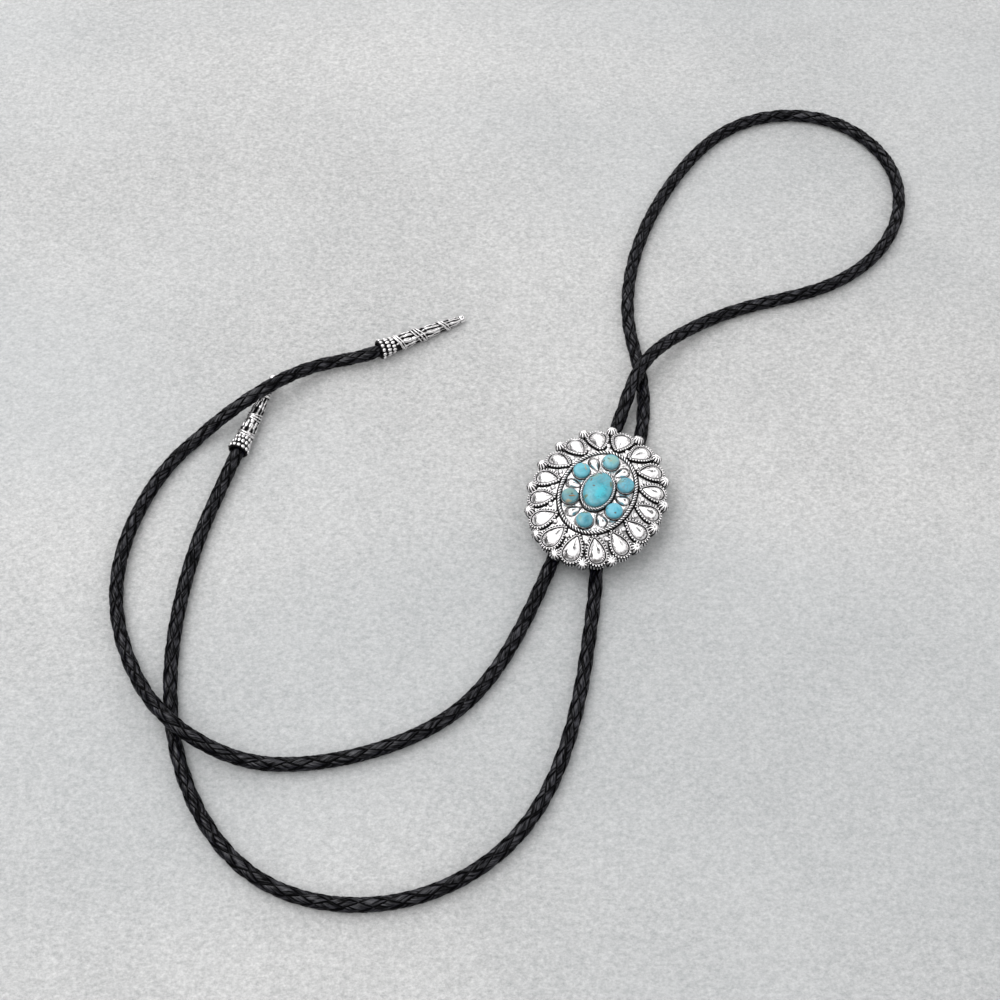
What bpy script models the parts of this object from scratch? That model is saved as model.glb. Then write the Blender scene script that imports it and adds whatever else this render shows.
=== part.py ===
"""A bolo tie lying loose on a flat surface.

Metres, +Z up. The origin is the middle of the slide back's flat underside, on the surface.
+Y runs along the slide's long axis, towards the neck loop, and +X to the right of its face.
The slide's face is a domed oval casting set with turquoise. Behind it a plain back piece holds
two channels, and one braided cord runs tip, left channel, neck loop, right channel, tip.
"""

import math

import bmesh
import bpy
import numpy as np
from mathutils import Matrix, Vector

MM = 0.001
GAP = 0.3 * MM

# Cord, and the holes it lies in. The straight share keeps points on its straight stretches.
CORD_RADIUS = 2.0 * MM
CORD_RESOLUTION = 3
CORD_POINTS = 80
CORD_STRAIGHT_SHARE = 5.0
BORE_RADIUS = 2.45 * MM
CHANNEL_X = 5.0 * MM
CHANNEL_Z = 3.1 * MM

# Face casting: heights over the surface
RIM_BOTTOM_Z = 5.3 * MM
RIM_TOP_Z = 7.1 * MM
PETAL_SEAT_Z = 8.2 * MM
SHOULDER_Z = 9.6 * MM
FIELD_Z = 9.9 * MM
FIELD_MIDDLE_Z = 10.1 * MM
CEILING_Z = 8.1 * MM

# Face casting: half width and half length of the ovals that its parts are set out on
RIM_OVAL = (18.5 * MM, 22.7 * MM)
BEAD_OVAL = (19.0 * MM, 23.3 * MM)
PETAL_OVAL = (15.5 * MM, 20.0 * MM)
DOT_OVAL = (12.7 * MM, 16.9 * MM)
ROPE_OVAL = (10.7 * MM, 14.3 * MM)
STONE_OVAL = (7.45 * MM, 10.6 * MM)
PEAR_OVAL = (7.3 * MM, 10.3 * MM)

PETAL_COUNT = 16
STONE_COUNT = 6
STEPS_PER_PETAL = 4
RIM_SCALLOP = 0.45 * MM
RIM_THICKNESS = 1.6 * MM
SHOULDER_WIDTH = 1.0 * MM

# Face casting: raised work
PETAL_LENGTH = 8.1 * MM
PETAL_WIDTH = 6.2 * MM
PETAL_SLOPE = math.radians(19.0)
PETAL_SIDES = 12
PEAR_LENGTH = 4.6 * MM
PEAR_WIDTH = 3.1 * MM
PEAR_SIDES = 10
PEAR_CROWN = 0.12
BEAD_RADIUS = 1.15 * MM
BEAD_Z = 8.0 * MM
BEAD_SIDES = 8
POST_RADIUS = 1.35 * MM
DOT_RADIUS = 0.8 * MM
DOT_Z = 9.35 * MM
DOT_SIDES = 6
ROPE_RADIUS = 0.6 * MM
ROPE_Z = 10.1 * MM
ROPE_STEPS = 48
ROPE_SIDES = 6
SETTING_SINK = 0.5 * MM

# Raised pears, from the foot to the crown: share of the outline, height over the seat in mm
PETAL_STEPS = (
    (1.0, -0.9),
    (1.0, 0.5),
    (0.8, 0.5),
    (0.7, 1.1),
    (0.4, 1.65),
    (0.0, 1.85),
)
SMALL_PEAR_STEPS = (
    (1.0, -0.5),
    (1.0, 0.3),
    (0.7, 1.0),
    (0.0, 1.4),
)

# Stones: flat-backed cabochons in upright bezels
ROUND_STONE_RADIUS = 2.4 * MM
ROUND_STONE_HEIGHT = 1.7 * MM
ROUND_BEZEL_WALL = 0.35 * MM
ROUND_BEZEL_HEIGHT = 0.9 * MM
CENTRE_STONE = (3.9 * MM, 5.9 * MM)
CENTRE_STONE_HEIGHT = 2.4 * MM
CENTRE_BEZEL_WALL = 0.6 * MM
CENTRE_BEZEL_HEIGHT = 1.1 * MM
ROUND_STONE_SIDES = 12
CENTRE_STONE_SIDES = 22

# A stone, from its flat foot to its crown: share of its outline, share of its height
STONE_STEPS = (
    (1.0, 0.0),
    (1.0, 0.42),
    (0.88, 0.72),
    (0.6, 0.92),
    (0.0, 1.0),
)

# Back of the slide
BACK_WIDTH = 17.0 * MM
BACK_LENGTH = 23.0 * MM
BACK_PLATE = 0.8 * MM
CHANNEL_LENGTH = 21.0 * MM
CHANNEL_WALL = 0.6 * MM
CHANNEL_SIDES = 16
SEAT_PAD = (12.0 * MM, 16.0 * MM)

# Tips: the middle of each mouth in mm, the bearing of the point in degrees anticlockwise from
# +X as seen from above, and the slope of its axis down to the point in degrees
TIPS = (
    # name, x, y, z, bearing, slope
    ("tip_upper", -81.6, 27.2, 3.21, 50.7, 3.5),
    ("tip_lower", -104.2, -23.0, 3.15, 95.2, 1.0),
)
TIP_SIDES = 14
TIP_BORE_DEPTH = 6.3 * MM
TIP_LENGTH = 29.6 * MM

# Outside of a tip, in mm: distance from the mouth, radius, depth of its lengthwise grooves
TIP_PROFILE = (
    (0.0, 2.85, 0.0),
    (0.3, 3.20, 0.0),
    (1.5, 3.20, 0.0),
    (1.9, 2.85, 0.0),
    (5.3, 2.75, 0.0),
    (5.8, 2.80, 0.0),
    (6.9, 2.70, 0.0),
    (7.4, 2.40, 0.2),
    (12.2, 2.15, 0.3),
    (12.7, 2.40, 0.0),
    (14.9, 2.30, 0.0),
    (15.4, 1.95, 0.2),
    (20.3, 1.65, 0.3),
    (20.8, 1.80, 0.0),
    (23.2, 1.65, 0.0),
    (23.7, 1.40, 0.2),
    (27.3, 1.10, 0.2),
    (27.6, 0.90, 0.0),
    (27.9, 1.20, 0.0),
    (29.2, 1.20, 0.0),
)

# Route of the cord's middle line in its three free runs, in mm. Between them it lies straight
# in the slide's channels.
LEFT_TAIL = (
    # x, y, z, from inside the upper tip to the slide
    (-78.4, 31.2, 2.9),
    (-84.2, 24.1, 3.3),
    (-93.8, 17.0, 2.9),
    (-105.7, -2.2, 7.1),
    (-118.0, -23.5, 2.1),
    (-121.5, -51.5, 2.0),
    (-112.5, -81.0, 2.0),
    (-97.0, -98.5, 3.2),
    (-78.0, -109.5, 6.7),
    (-59.5, -110.5, 3.1),
    (-32.5, -98.5, 2.0),
    (-11.0, -74.0, 2.0),
    (-5.0, -40.0, 2.0),
)
NECK_LOOP = (
    # x, y, z, from the slide's left channel round to its right one
    (-4.3, 27.0, 2.8),
    (-4.7, 47.5, 6.6),
    (1.5, 67.5, 3.8),
    (14.0, 84.5, 2.0),
    (37.0, 104.5, 2.0),
    (49.5, 129.0, 2.0),
    (42.5, 161.5, 2.0),
    (17.5, 174.5, 2.0),
    (-6.5, 165.0, 2.0),
    (-22.0, 128.5, 2.0),
    (-21.5, 88.0, 2.0),
    (-14.0, 65.5, 2.0),
    (-5.0, 50.5, 2.0),
    (2.9, 30.0, 2.0),
)
RIGHT_TAIL = (
    # x, y, z, from the slide to inside the lower tip
    (8.0, -21.5, 2.3),
    (12.0, -35.5, 2.0),
    (19.0, -69.5, 2.0),
    (17.0, -101.5, 2.0),
    (-2.5, -128.5, 2.0),
    (-39.0, -138.0, 2.0),
    (-67.5, -123.0, 2.0),
    (-96.5, -72.5, 2.0),
    (-102.8, -40.5, 2.0),
    (-103.7, -28.5, 3.0),
    (-104.7, -17.8, 3.1),
)

SHARP_ANGLE = math.radians(40.0)

# Finishes: colour, metallic, roughness
SILVER = ((0.78, 0.77, 0.75), 1.0, 0.28)
NICKEL = ((0.62, 0.61, 0.60), 1.0, 0.36)
TURQUOISE = ((0.18, 0.44, 0.50), 0.0, 0.30)
LEATHER = ((0.020, 0.020, 0.024), 0.0, 0.52)


def clear_scene():
    for leftover in list(bpy.data.objects):
        bpy.data.objects.remove(leftover, do_unlink=True)


def finish(piece, look):
    """Gives a piece a material of its own."""
    colour, metallic, roughness = look
    material = bpy.data.materials.new(piece.name)
    material.use_nodes = True
    shader = material.node_tree.nodes["Principled BSDF"]
    shader.inputs["Base Color"].default_value = (*colour, 1.0)
    shader.inputs["Metallic"].default_value = metallic
    shader.inputs["Roughness"].default_value = roughness
    piece.data.materials.append(material)


def skin(bm, rings, closed=False):
    """Joins neighbouring rings of points with faces. A ring of one point is a pole."""
    loops = [[bm.verts.new(point) for point in ring] for ring in rings]
    pairs = list(zip(loops, loops[1:]))
    if closed:
        pairs.append((loops[-1], loops[0]))
    for first, second in pairs:
        count = max(len(first), len(second))
        for step in range(count):
            after = (step + 1) % count
            corners = [first[step % len(first)]]
            if len(second) > 1:
                corners += [second[step], second[after]]
            else:
                corners += [second[0]]
            if len(first) > 1:
                corners += [first[after]]
            bm.faces.new(corners)
    if not closed:
        for end in (loops[0], loops[-1]):
            if len(end) > 1:
                bm.faces.new(end)


def new_piece(name, bm):
    """Turns a bmesh of closed shapes into an object with its faces pointing out."""
    bmesh.ops.recalc_face_normals(bm, faces=bm.faces)
    mesh = bpy.data.meshes.new(name)
    bm.to_mesh(mesh)
    bm.free()
    mesh.shade_smooth()
    mesh.set_sharp_from_angle(angle=SHARP_ANGLE)
    piece = bpy.data.objects.new(name, mesh)
    bpy.context.scene.collection.objects.link(piece)
    return piece


def combine(target, tool, operation):
    """Adds a tool shape to a piece, or cuts it out, and hides the tool."""
    tool.hide_render = True
    tool.display_type = "WIRE"
    step = target.modifiers.new(tool.name, "BOOLEAN")
    step.operation = operation
    step.solver = "EXACT"
    step.object = tool


def oval_stations(oval, count, offset=0.0):
    """Equal steps round an oval, clockwise from +Y: each step's point and outward direction."""
    half_width, half_length = oval
    turn = np.linspace(0.0, 2.0 * math.pi, 2001)
    x = half_width * np.sin(turn)
    y = half_length * np.cos(turn)
    run = np.concatenate(([0.0], np.cumsum(np.hypot(np.diff(x), np.diff(y)))))
    wanted = (np.arange(count) + offset) / count * run[-1]
    stations = []
    for angle in np.interp(wanted, run, turn):
        point = Vector((half_width * math.sin(angle), half_length * math.cos(angle), 0.0))
        outward = Vector((math.sin(angle) / half_width, math.cos(angle) / half_length, 0.0))
        stations.append((point, outward.normalized()))
    return stations


def oval_ring(oval, count, height, scallop=0.0):
    """One ring of points round an oval, pushed out at each petal and in between them."""
    ring = []
    for step, (point, outward) in enumerate(oval_stations(oval, count, 0.5)):
        wave = math.cos(2.0 * math.pi * (step + 0.5) / STEPS_PER_PETAL)
        ring.append(point + outward * scallop * wave + Vector((0.0, 0.0, height)))
    return ring


def grown(oval, amount):
    return (oval[0] + amount, oval[1] + amount)


def pear_outline(length, width, count):
    """A pear shape with its round end at +X and its point at -X, about its middle."""
    widest = 4.0 / math.sqrt(27.0)
    outline = []
    for step in range(count):
        turn = 2.0 * math.pi * step / count
        along = math.cos(turn)
        across = math.sin(turn) * abs(math.cos(turn / 2.0)) / widest
        outline.append(Vector((along * length / 2.0, across * width / 2.0, 0.0)))
    return outline


def facing_out(point, outward, height, slope=0.0):
    """Places a shape whose +X points away from the middle, its face tipped down by slope."""
    across = Vector((-outward.y, outward.x, 0.0))
    along = outward * math.cos(slope) - Vector((0.0, 0.0, math.sin(slope)))
    upward = along.cross(across)
    turned = Matrix((along, across, upward)).transposed().to_4x4()
    return Matrix.Translation(point + Vector((0.0, 0.0, height))) @ turned


def raised_pears(name, stations, height, slope, length, width, steps, count):
    """A group of raised pears pointing at the middle of the face."""
    bm = bmesh.new()
    outline = pear_outline(length, width, count)
    crown = Vector((length * PEAR_CROWN, 0.0, 0.0))
    for point, outward in stations:
        place = facing_out(point, outward, height, slope)
        rings = []
        for share, lift in steps:
            middle = crown + Vector((0.0, 0.0, lift * MM))
            if share == 0.0:
                rings.append([place @ middle])
            else:
                rings.append([place @ (middle + (spot - crown) * share) for spot in outline])
        skin(bm, rings)
    return new_piece(name, bm)


def turned_shapes(name, places, profile, sides):
    """A group of shapes turned about a vertical axis. The profile lists radius and height."""
    bm = bmesh.new()
    for place in places:
        rings = []
        for radius, height in profile:
            if radius == 0.0:
                rings.append([place + Vector((0.0, 0.0, height))])
                continue
            ring = []
            for side in range(sides):
                angle = 2.0 * math.pi * side / sides
                offset = Vector((radius * math.cos(angle), radius * math.sin(angle), height))
                ring.append(place + offset)
            rings.append(ring)
        skin(bm, rings)
    return new_piece(name, bm)


def oval_wire(name, oval, height, radius, steps, sides):
    """A round wire bent into an oval."""
    bm = bmesh.new()
    rings = []
    for point, outward in oval_stations(oval, steps):
        ring = []
        for side in range(sides):
            angle = 2.0 * math.pi * side / sides
            lift = Vector((0.0, 0.0, height + radius * math.sin(angle)))
            ring.append(point + outward * radius * math.cos(angle) + lift)
        rings.append(ring)
    skin(bm, rings, closed=True)
    return new_piece(name, bm)


def bezels(name, middles, inner, wall, height, count):
    """A group of upright walls that the stones stand in, round the oval given as inner."""
    bm = bmesh.new()
    low = FIELD_Z - SETTING_SINK
    high = FIELD_Z + height
    outer = grown(inner, wall)
    for middle in middles:
        rings = []
        for oval, level in ((outer, low), (outer, high), (inner, high), (inner, low)):
            rings.append([middle + spot for spot in oval_ring(oval, count, level)])
        skin(bm, rings, closed=True)
    return new_piece(name, bm)


def concho_plate():
    """The domed oval plate with its scalloped rim and hollow underside."""
    count = PETAL_COUNT * STEPS_PER_PETAL
    lip = grown(RIM_OVAL, -RIM_THICKNESS)
    rows = (
        # oval, height, scallop
        (grown(CENTRE_STONE, GAP), FIELD_MIDDLE_Z, 0.0),
        (ROPE_OVAL, FIELD_Z, 0.0),
        (grown(ROPE_OVAL, SHOULDER_WIDTH), SHOULDER_Z, 0.0),
        (PETAL_OVAL, PETAL_SEAT_Z, 0.0),
        (RIM_OVAL, RIM_TOP_Z, RIM_SCALLOP),
        (RIM_OVAL, RIM_BOTTOM_Z, RIM_SCALLOP),
        (lip, RIM_BOTTOM_Z, 0.0),
        (grown(lip, -RIM_THICKNESS / 2.0), RIM_BOTTOM_Z + RIM_THICKNESS / 2.0, 0.0),
        (ROPE_OVAL, CEILING_Z, 0.0),
    )
    rings = [[Vector((0.0, 0.0, FIELD_MIDDLE_Z))]]
    rings += [oval_ring(oval, count, height, scallop) for oval, height, scallop in rows]
    rings.append([Vector((0.0, 0.0, CEILING_Z))])
    bm = bmesh.new()
    skin(bm, rings)
    return new_piece("concho", bm)


def build_concho():
    """The face of the slide: one casting with its petals, beads, rope ring and bezels."""
    concho = concho_plate()
    petals = raised_pears(
        "petals", oval_stations(PETAL_OVAL, PETAL_COUNT), PETAL_SEAT_Z, PETAL_SLOPE,
        PETAL_LENGTH, PETAL_WIDTH, PETAL_STEPS, PETAL_SIDES,
    )
    small_pears = raised_pears(
        "small_pears", oval_stations(PEAR_OVAL, STONE_COUNT, 0.5), FIELD_Z, 0.0,
        PEAR_LENGTH, PEAR_WIDTH, SMALL_PEAR_STEPS, PEAR_SIDES,
    )
    beads = turned_shapes(
        "rim_beads", [point for point, _ in oval_stations(BEAD_OVAL, PETAL_COUNT, 0.5)],
        (
            (POST_RADIUS, RIM_BOTTOM_Z + RIM_SCALLOP / 2.0),
            (POST_RADIUS, BEAD_Z - BEAD_RADIUS),
            (BEAD_RADIUS, BEAD_Z),
            (BEAD_RADIUS * 0.7, BEAD_Z + BEAD_RADIUS * 0.7),
            (0.0, BEAD_Z + BEAD_RADIUS),
        ),
        BEAD_SIDES,
    )
    dots = turned_shapes(
        "dots", [point for point, _ in oval_stations(DOT_OVAL, PETAL_COUNT, 0.5)],
        (
            (DOT_RADIUS, DOT_Z - DOT_RADIUS),
            (DOT_RADIUS, DOT_Z),
            (DOT_RADIUS * 0.65, DOT_Z + DOT_RADIUS * 0.6),
            (0.0, DOT_Z + DOT_RADIUS * 0.8),
        ),
        DOT_SIDES,
    )
    rope = oval_wire("rope_ring", ROPE_OVAL, ROPE_Z, ROPE_RADIUS, ROPE_STEPS, ROPE_SIDES)
    centre_bezel = bezels(
        "centre_bezel", [Vector((0.0, 0.0, 0.0))], grown(CENTRE_STONE, GAP),
        CENTRE_BEZEL_WALL, CENTRE_BEZEL_HEIGHT, CENTRE_STONE_SIDES,
    )
    round_bezels = bezels(
        "round_bezels", [point for point, _ in oval_stations(STONE_OVAL, STONE_COUNT)],
        (ROUND_STONE_RADIUS + GAP, ROUND_STONE_RADIUS + GAP),
        ROUND_BEZEL_WALL, ROUND_BEZEL_HEIGHT, ROUND_STONE_SIDES,
    )
    for tool in (petals, small_pears, beads, dots, rope, centre_bezel, round_bezels):
        combine(concho, tool, "UNION")
    finish(concho, SILVER)


def build_stone(name, middle, oval, height, count):
    """A flat-backed domed stone standing a small gap over its seat."""
    seat = FIELD_MIDDLE_Z + GAP
    rings = []
    for share, lift in STONE_STEPS:
        level = seat + height * lift
        if share == 0.0:
            rings.append([middle + Vector((0.0, 0.0, level))])
        else:
            size = (oval[0] * share, oval[1] * share)
            rings.append([middle + spot for spot in oval_ring(size, count, level)])
    bm = bmesh.new()
    skin(bm, rings)
    finish(new_piece(name, bm), TURQUOISE)


def build_stones():
    build_stone("centre_stone", Vector((0.0, 0.0, 0.0)), CENTRE_STONE, CENTRE_STONE_HEIGHT,
                CENTRE_STONE_SIDES)
    size = (ROUND_STONE_RADIUS, ROUND_STONE_RADIUS)
    for number, (point, _) in enumerate(oval_stations(STONE_OVAL, STONE_COUNT), start=1):
        build_stone(f"round_stone_{number}", point, size, ROUND_STONE_HEIGHT, ROUND_STONE_SIDES)


def box(name, width, length, low, high):
    bm = bmesh.new()
    bmesh.ops.create_cube(bm, size=1.0)
    for vert in bm.verts:
        vert.co.x *= width
        vert.co.y *= length
        vert.co.z = low if vert.co.z < 0.0 else high
    return new_piece(name, bm)


def channel_rods(name, radius, length):
    """Two parallel rods along Y, at the cord's two places in the slide."""
    bm = bmesh.new()
    for side_sign in (-1.0, 1.0):
        rings = []
        for y in (-length / 2.0, length / 2.0):
            ring = []
            for side in range(CHANNEL_SIDES):
                angle = 2.0 * math.pi * (side + 0.5) / CHANNEL_SIDES
                x = side_sign * CHANNEL_X + radius * math.cos(angle)
                ring.append(Vector((x, y, CHANNEL_Z + radius * math.sin(angle))))
            rings.append(ring)
        skin(bm, rings)
    return new_piece(name, bm)


def build_slide_back():
    """The plain back: a flat plate, two channels for the cord and a pad under the casting."""
    back = box("slide_back", BACK_WIDTH, BACK_LENGTH, 0.0, BACK_PLATE)
    pad = box("seat_pad", SEAT_PAD[0], SEAT_PAD[1], BACK_PLATE / 2.0, CEILING_Z - GAP)
    outer = channel_rods("channel_walls", BORE_RADIUS + CHANNEL_WALL, CHANNEL_LENGTH)
    bores = channel_rods("channel_bores", BORE_RADIUS, CHANNEL_LENGTH * 1.5)
    combine(back, pad, "UNION")
    combine(back, outer, "UNION")
    combine(back, bores, "DIFFERENCE")
    finish(back, NICKEL)


def tip_ring(along, radius, groove=0.0):
    """One ring round a tip's axis, every second point set in by the groove's depth."""
    ring = []
    for side in range(TIP_SIDES):
        angle = 2.0 * math.pi * side / TIP_SIDES
        reach = radius - groove * (side % 2)
        ring.append(Vector((along, reach * math.cos(angle), reach * math.sin(angle))))
    return ring


def build_tip(name, mouth, bearing, slope):
    """A tapered cast tip with a hollow mouth, its point sloping down from its raised lip."""
    rings = [[Vector((TIP_BORE_DEPTH, 0.0, 0.0))]]
    rings += [tip_ring(TIP_BORE_DEPTH, BORE_RADIUS), tip_ring(0.0, BORE_RADIUS)]
    rings += [tip_ring(along * MM, radius * MM, groove * MM)
              for along, radius, groove in TIP_PROFILE]
    rings.append([Vector((TIP_LENGTH, 0.0, 0.0))])
    bm = bmesh.new()
    skin(bm, rings)
    tip = new_piece(name, bm)
    tip.location = Vector(mouth) * MM
    tip.rotation_euler = (0.0, math.radians(slope), math.radians(bearing))
    finish(tip, SILVER)


def second_derivatives(knots, values):
    """Second derivatives at the knots of a natural cubic curve through the values."""
    count = len(knots)
    gaps = np.diff(knots)
    system = np.eye(count)
    right = np.zeros_like(values)
    for k in range(1, count - 1):
        system[k, k - 1] = gaps[k - 1]
        system[k, k] = 2.0 * (gaps[k - 1] + gaps[k])
        system[k, k + 1] = gaps[k]
        rise = (values[k + 1] - values[k]) / gaps[k] - (values[k] - values[k - 1]) / gaps[k - 1]
        right[k] = 6.0 * rise
    return np.linalg.solve(system, right)


def smooth_points(route, count):
    """Points on a natural cubic curve through the route, closer together where it bends."""
    values = np.array(route)
    knots = np.concatenate(([0.0], np.cumsum(np.linalg.norm(np.diff(values, axis=0), axis=1))))
    bend = second_derivatives(knots, values)
    fine = []
    for k in range(len(knots) - 1):
        gap = knots[k + 1] - knots[k]
        for b in np.linspace(0.0, 1.0, 40, endpoint=False):
            a = 1.0 - b
            curve = (a ** 3 - a) * bend[k] + (b ** 3 - b) * bend[k + 1]
            fine.append(a * values[k] + b * values[k + 1] + curve * gap * gap / 6.0)
    fine = np.array(fine + [values[-1]])
    fine[:, 2] = np.maximum(fine[:, 2], CORD_RADIUS)
    run = np.concatenate(([0.0], np.cumsum(np.linalg.norm(np.diff(fine, axis=0), axis=1))))
    heading = np.gradient(fine, run, axis=0)
    turning = np.linalg.norm(np.gradient(heading, run, axis=0), axis=1)
    weight = np.sqrt(turning + CORD_STRAIGHT_SHARE)
    spent = np.concatenate(([0.0], np.cumsum((weight[1:] + weight[:-1]) / 2.0 * np.diff(run))))
    places = np.interp(np.linspace(0.0, spent[-1], count), spent, run)
    return np.column_stack([np.interp(places, run, fine[:, axis]) for axis in range(3)])


def cord_route():
    """The whole route, in metres: a tail, a channel, the loop, the other channel, a tail."""
    tail, loop, other_tail = (
        [tuple(value * MM for value in spot) for spot in run]
        for run in (LEFT_TAIL, NECK_LOOP, RIGHT_TAIL)
    )
    reach = BACK_LENGTH / 2.0
    up = [(-CHANNEL_X, y, CHANNEL_Z) for y in (-reach, 0.0, reach)]
    down = [(CHANNEL_X, y, CHANNEL_Z) for y in (reach, 0.0, -reach)]
    return tail + up + loop + down + other_tail


def build_cord():
    """The braided cord as a plain round tube along its route."""
    points = smooth_points(cord_route(), CORD_POINTS)
    path = bpy.data.curves.new("cord", "CURVE")
    path.dimensions = "3D"
    path.bevel_depth = CORD_RADIUS
    path.bevel_resolution = CORD_RESOLUTION
    path.use_fill_caps = True
    spline = path.splines.new("POLY")
    spline.points.add(len(points) - 1)
    for spot, place in zip(spline.points, points):
        spot.co = (*place, 1.0)
    cord = bpy.data.objects.new("cord", path)
    bpy.context.scene.collection.objects.link(cord)
    finish(cord, LEATHER)


clear_scene()
build_concho()
build_stones()
build_slide_back()
build_cord()
for tip_name, *tip_mouth, tip_bearing, tip_slope in TIPS:
    build_tip(tip_name, tip_mouth, tip_bearing, tip_slope)
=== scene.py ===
"""The dressed look of a bolo tie that lies loose on a table.

It is built over the tie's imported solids, in metres, +Z up, in their own frame: the origin is
the middle of the slide back's flat underside, +Y runs along the slide towards the neck loop,
and +X to the right of the slide's face.
"""

import math

import bpy
import numpy as np
from mathutils import Matrix, Vector


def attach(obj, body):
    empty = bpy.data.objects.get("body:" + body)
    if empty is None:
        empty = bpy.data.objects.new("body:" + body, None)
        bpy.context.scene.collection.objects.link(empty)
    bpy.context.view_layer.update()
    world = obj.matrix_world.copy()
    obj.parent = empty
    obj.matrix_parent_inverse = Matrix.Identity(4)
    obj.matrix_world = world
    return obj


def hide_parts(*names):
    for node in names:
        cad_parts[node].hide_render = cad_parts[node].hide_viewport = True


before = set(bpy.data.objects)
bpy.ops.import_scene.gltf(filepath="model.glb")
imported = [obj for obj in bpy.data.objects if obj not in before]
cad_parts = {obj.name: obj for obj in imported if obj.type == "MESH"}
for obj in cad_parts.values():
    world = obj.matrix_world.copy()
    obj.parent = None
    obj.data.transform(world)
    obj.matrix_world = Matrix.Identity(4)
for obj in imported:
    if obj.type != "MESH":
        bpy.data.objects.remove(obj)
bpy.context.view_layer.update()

# The view. The tie is seen from over its lower end, 57 degrees above the table, through a
# longish lens that takes in the whole lay of the cord.
MM = 0.001
CAMERA_PLACE = Vector((79.83, -265.55, 430.68)) * MM
CAMERA_TARGET = Vector((-27.2, -7.15, 0.0)) * MM
FIELD_OF_VIEW = math.radians(31.64)
NEAREST_SEEN = 10.0 * MM


def placed(name, data):
    """A new object in the scene."""
    thing = bpy.data.objects.new(name, data)
    bpy.context.scene.collection.objects.link(thing)
    return thing


def aimed(name, data, place, target):
    """A new camera or lamp at a place, turned towards a target."""
    thing = placed(name, data)
    thing.location = place
    thing.rotation_euler = (target - place).to_track_quat("-Z", "Y").to_euler()
    return thing


camera_data = bpy.data.cameras.new("camera")
camera_data.lens = camera_data.sensor_width / 2.0 / math.tan(FIELD_OF_VIEW / 2.0)
camera_data.clip_start = NEAREST_SEEN
bpy.context.scene.camera = aimed("camera", camera_data, CAMERA_PLACE, CAMERA_TARGET)
bpy.context.scene.view_settings.view_transform = "Standard"

# The cord. Eight flat strips of black leather are plaited into one round cord a little over a
# metre long: four wind one way and four the other, each going over one and under the next.
CORD_DIAMETER = 4.0 * MM
CORD_RADIUS = CORD_DIAMETER / 2.0
CORD_STEPS = 1300
CURVE_STEPS = 60
PLAIT_HAND = 4
PLAIT_RADIUS = 1.42 * MM
PLAIT_WEAVE = 0.40 * MM
PLAIT_LINGER = 0.05
PLAIT_SLANT = 0.38
STRIP_WIDTH = 2.7 * MM
STRIP_THICKNESS = 0.56 * MM
STRIP_CURVE = 2.0 * MM
STRIP_TURNS = np.radians((4.0, 30.0, 52.0, 90.0, 128.0, 150.0, 176.0, 270.0))
STRIP_SQUARENESS = 0.75
FACE_STEEPNESS = 3.6
FACE_START = 2.3
CHANNEL_X = 5.0
CHANNEL_Z = 3.1
CHANNEL_END = 11.5
CORE_RADIUS = 1.30 * MM
CORE_SIDES = 6
# The leather's own black, and a bluish sheen painted onto the raised faces of its strips
LEATHER_BLACK = (0.0006, 0.0006, 0.0008, 1.0)
LEATHER_PAINTED_SHEEN = (0.0036, 0.0032, 0.0160, 1.0)
LEATHER_GRAIN = 2300.0
LEATHER_PORES = 3200.0
# Where along the streaks the painted sheen and the polish lie
LEATHER_SHEEN_STREAKS = (0.42, 0.74)
LEATHER_ROUGHNESS = (0.34, 0.52)
LEATHER_RELIEF = 0.12 * MM
GRAIN_STRETCH = 0.10

# Route of the cord's middle line in mm, from inside the upper tip to inside the lower one
CORD_ROUTE = (
    # x, y, z down the left tail
    (-78.4, 31.2, 2.9),
    (-84.2, 24.1, 3.3),
    (-93.8, 17.0, 2.9),
    (-105.7, -2.2, 7.1),
    (-118.0, -23.5, 2.1),
    (-121.5, -51.5, 2.0),
    (-112.5, -81.0, 2.0),
    (-97.0, -98.5, 3.2),
    (-78.0, -109.5, 6.7),
    (-59.5, -110.5, 3.1),
    (-32.5, -98.5, 2.0),
    (-11.0, -74.0, 2.0),
    (-5.0, -40.0, 2.0),
    # up the slide's left channel
    (-CHANNEL_X, -CHANNEL_END, CHANNEL_Z),
    (-CHANNEL_X, 0.0, CHANNEL_Z),
    (-CHANNEL_X, CHANNEL_END, CHANNEL_Z),
    # round the neck loop
    (-4.3, 27.0, 2.8),
    (-4.7, 47.5, 6.6),
    (1.5, 67.5, 3.8),
    (14.0, 84.5, 2.0),
    (37.0, 104.5, 2.0),
    (49.5, 129.0, 2.0),
    (42.5, 161.5, 2.0),
    (17.5, 174.5, 2.0),
    (-6.5, 165.0, 2.0),
    (-22.0, 128.5, 2.0),
    (-21.5, 88.0, 2.0),
    (-14.0, 65.5, 2.0),
    (-5.0, 50.5, 2.0),
    (2.9, 30.0, 2.0),
    # down the slide's right channel
    (CHANNEL_X, CHANNEL_END, CHANNEL_Z),
    (CHANNEL_X, 0.0, CHANNEL_Z),
    (CHANNEL_X, -CHANNEL_END, CHANNEL_Z),
    # down the right tail and round to the lower tip
    (8.0, -21.5, 2.3),
    (12.0, -35.5, 2.0),
    (19.0, -69.5, 2.0),
    (17.0, -101.5, 2.0),
    (-2.5, -128.5, 2.0),
    (-39.0, -138.0, 2.0),
    (-67.5, -123.0, 2.0),
    (-96.5, -72.5, 2.0),
    (-102.8, -40.5, 2.0),
    (-103.7, -28.5, 3.0),
    (-104.7, -17.8, 3.1),
)

# How tightly the plait is pulled along the cord
CORD_LAY = (
    # share of the length, length of one turn in mm
    (0.00, 26.8),
    (0.06, 27.6),
    (0.14, 32.4),
    (0.20, 28.8),
    (0.30, 29.2),
    (0.39, 26.0),
    (0.48, 30.0),
    (0.52, 26.8),
    (0.60, 28.2),
    (0.65, 26.8),
    (0.71, 33.5),
    (0.77, 29.2),
    (1.00, 30.0),
)


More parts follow.
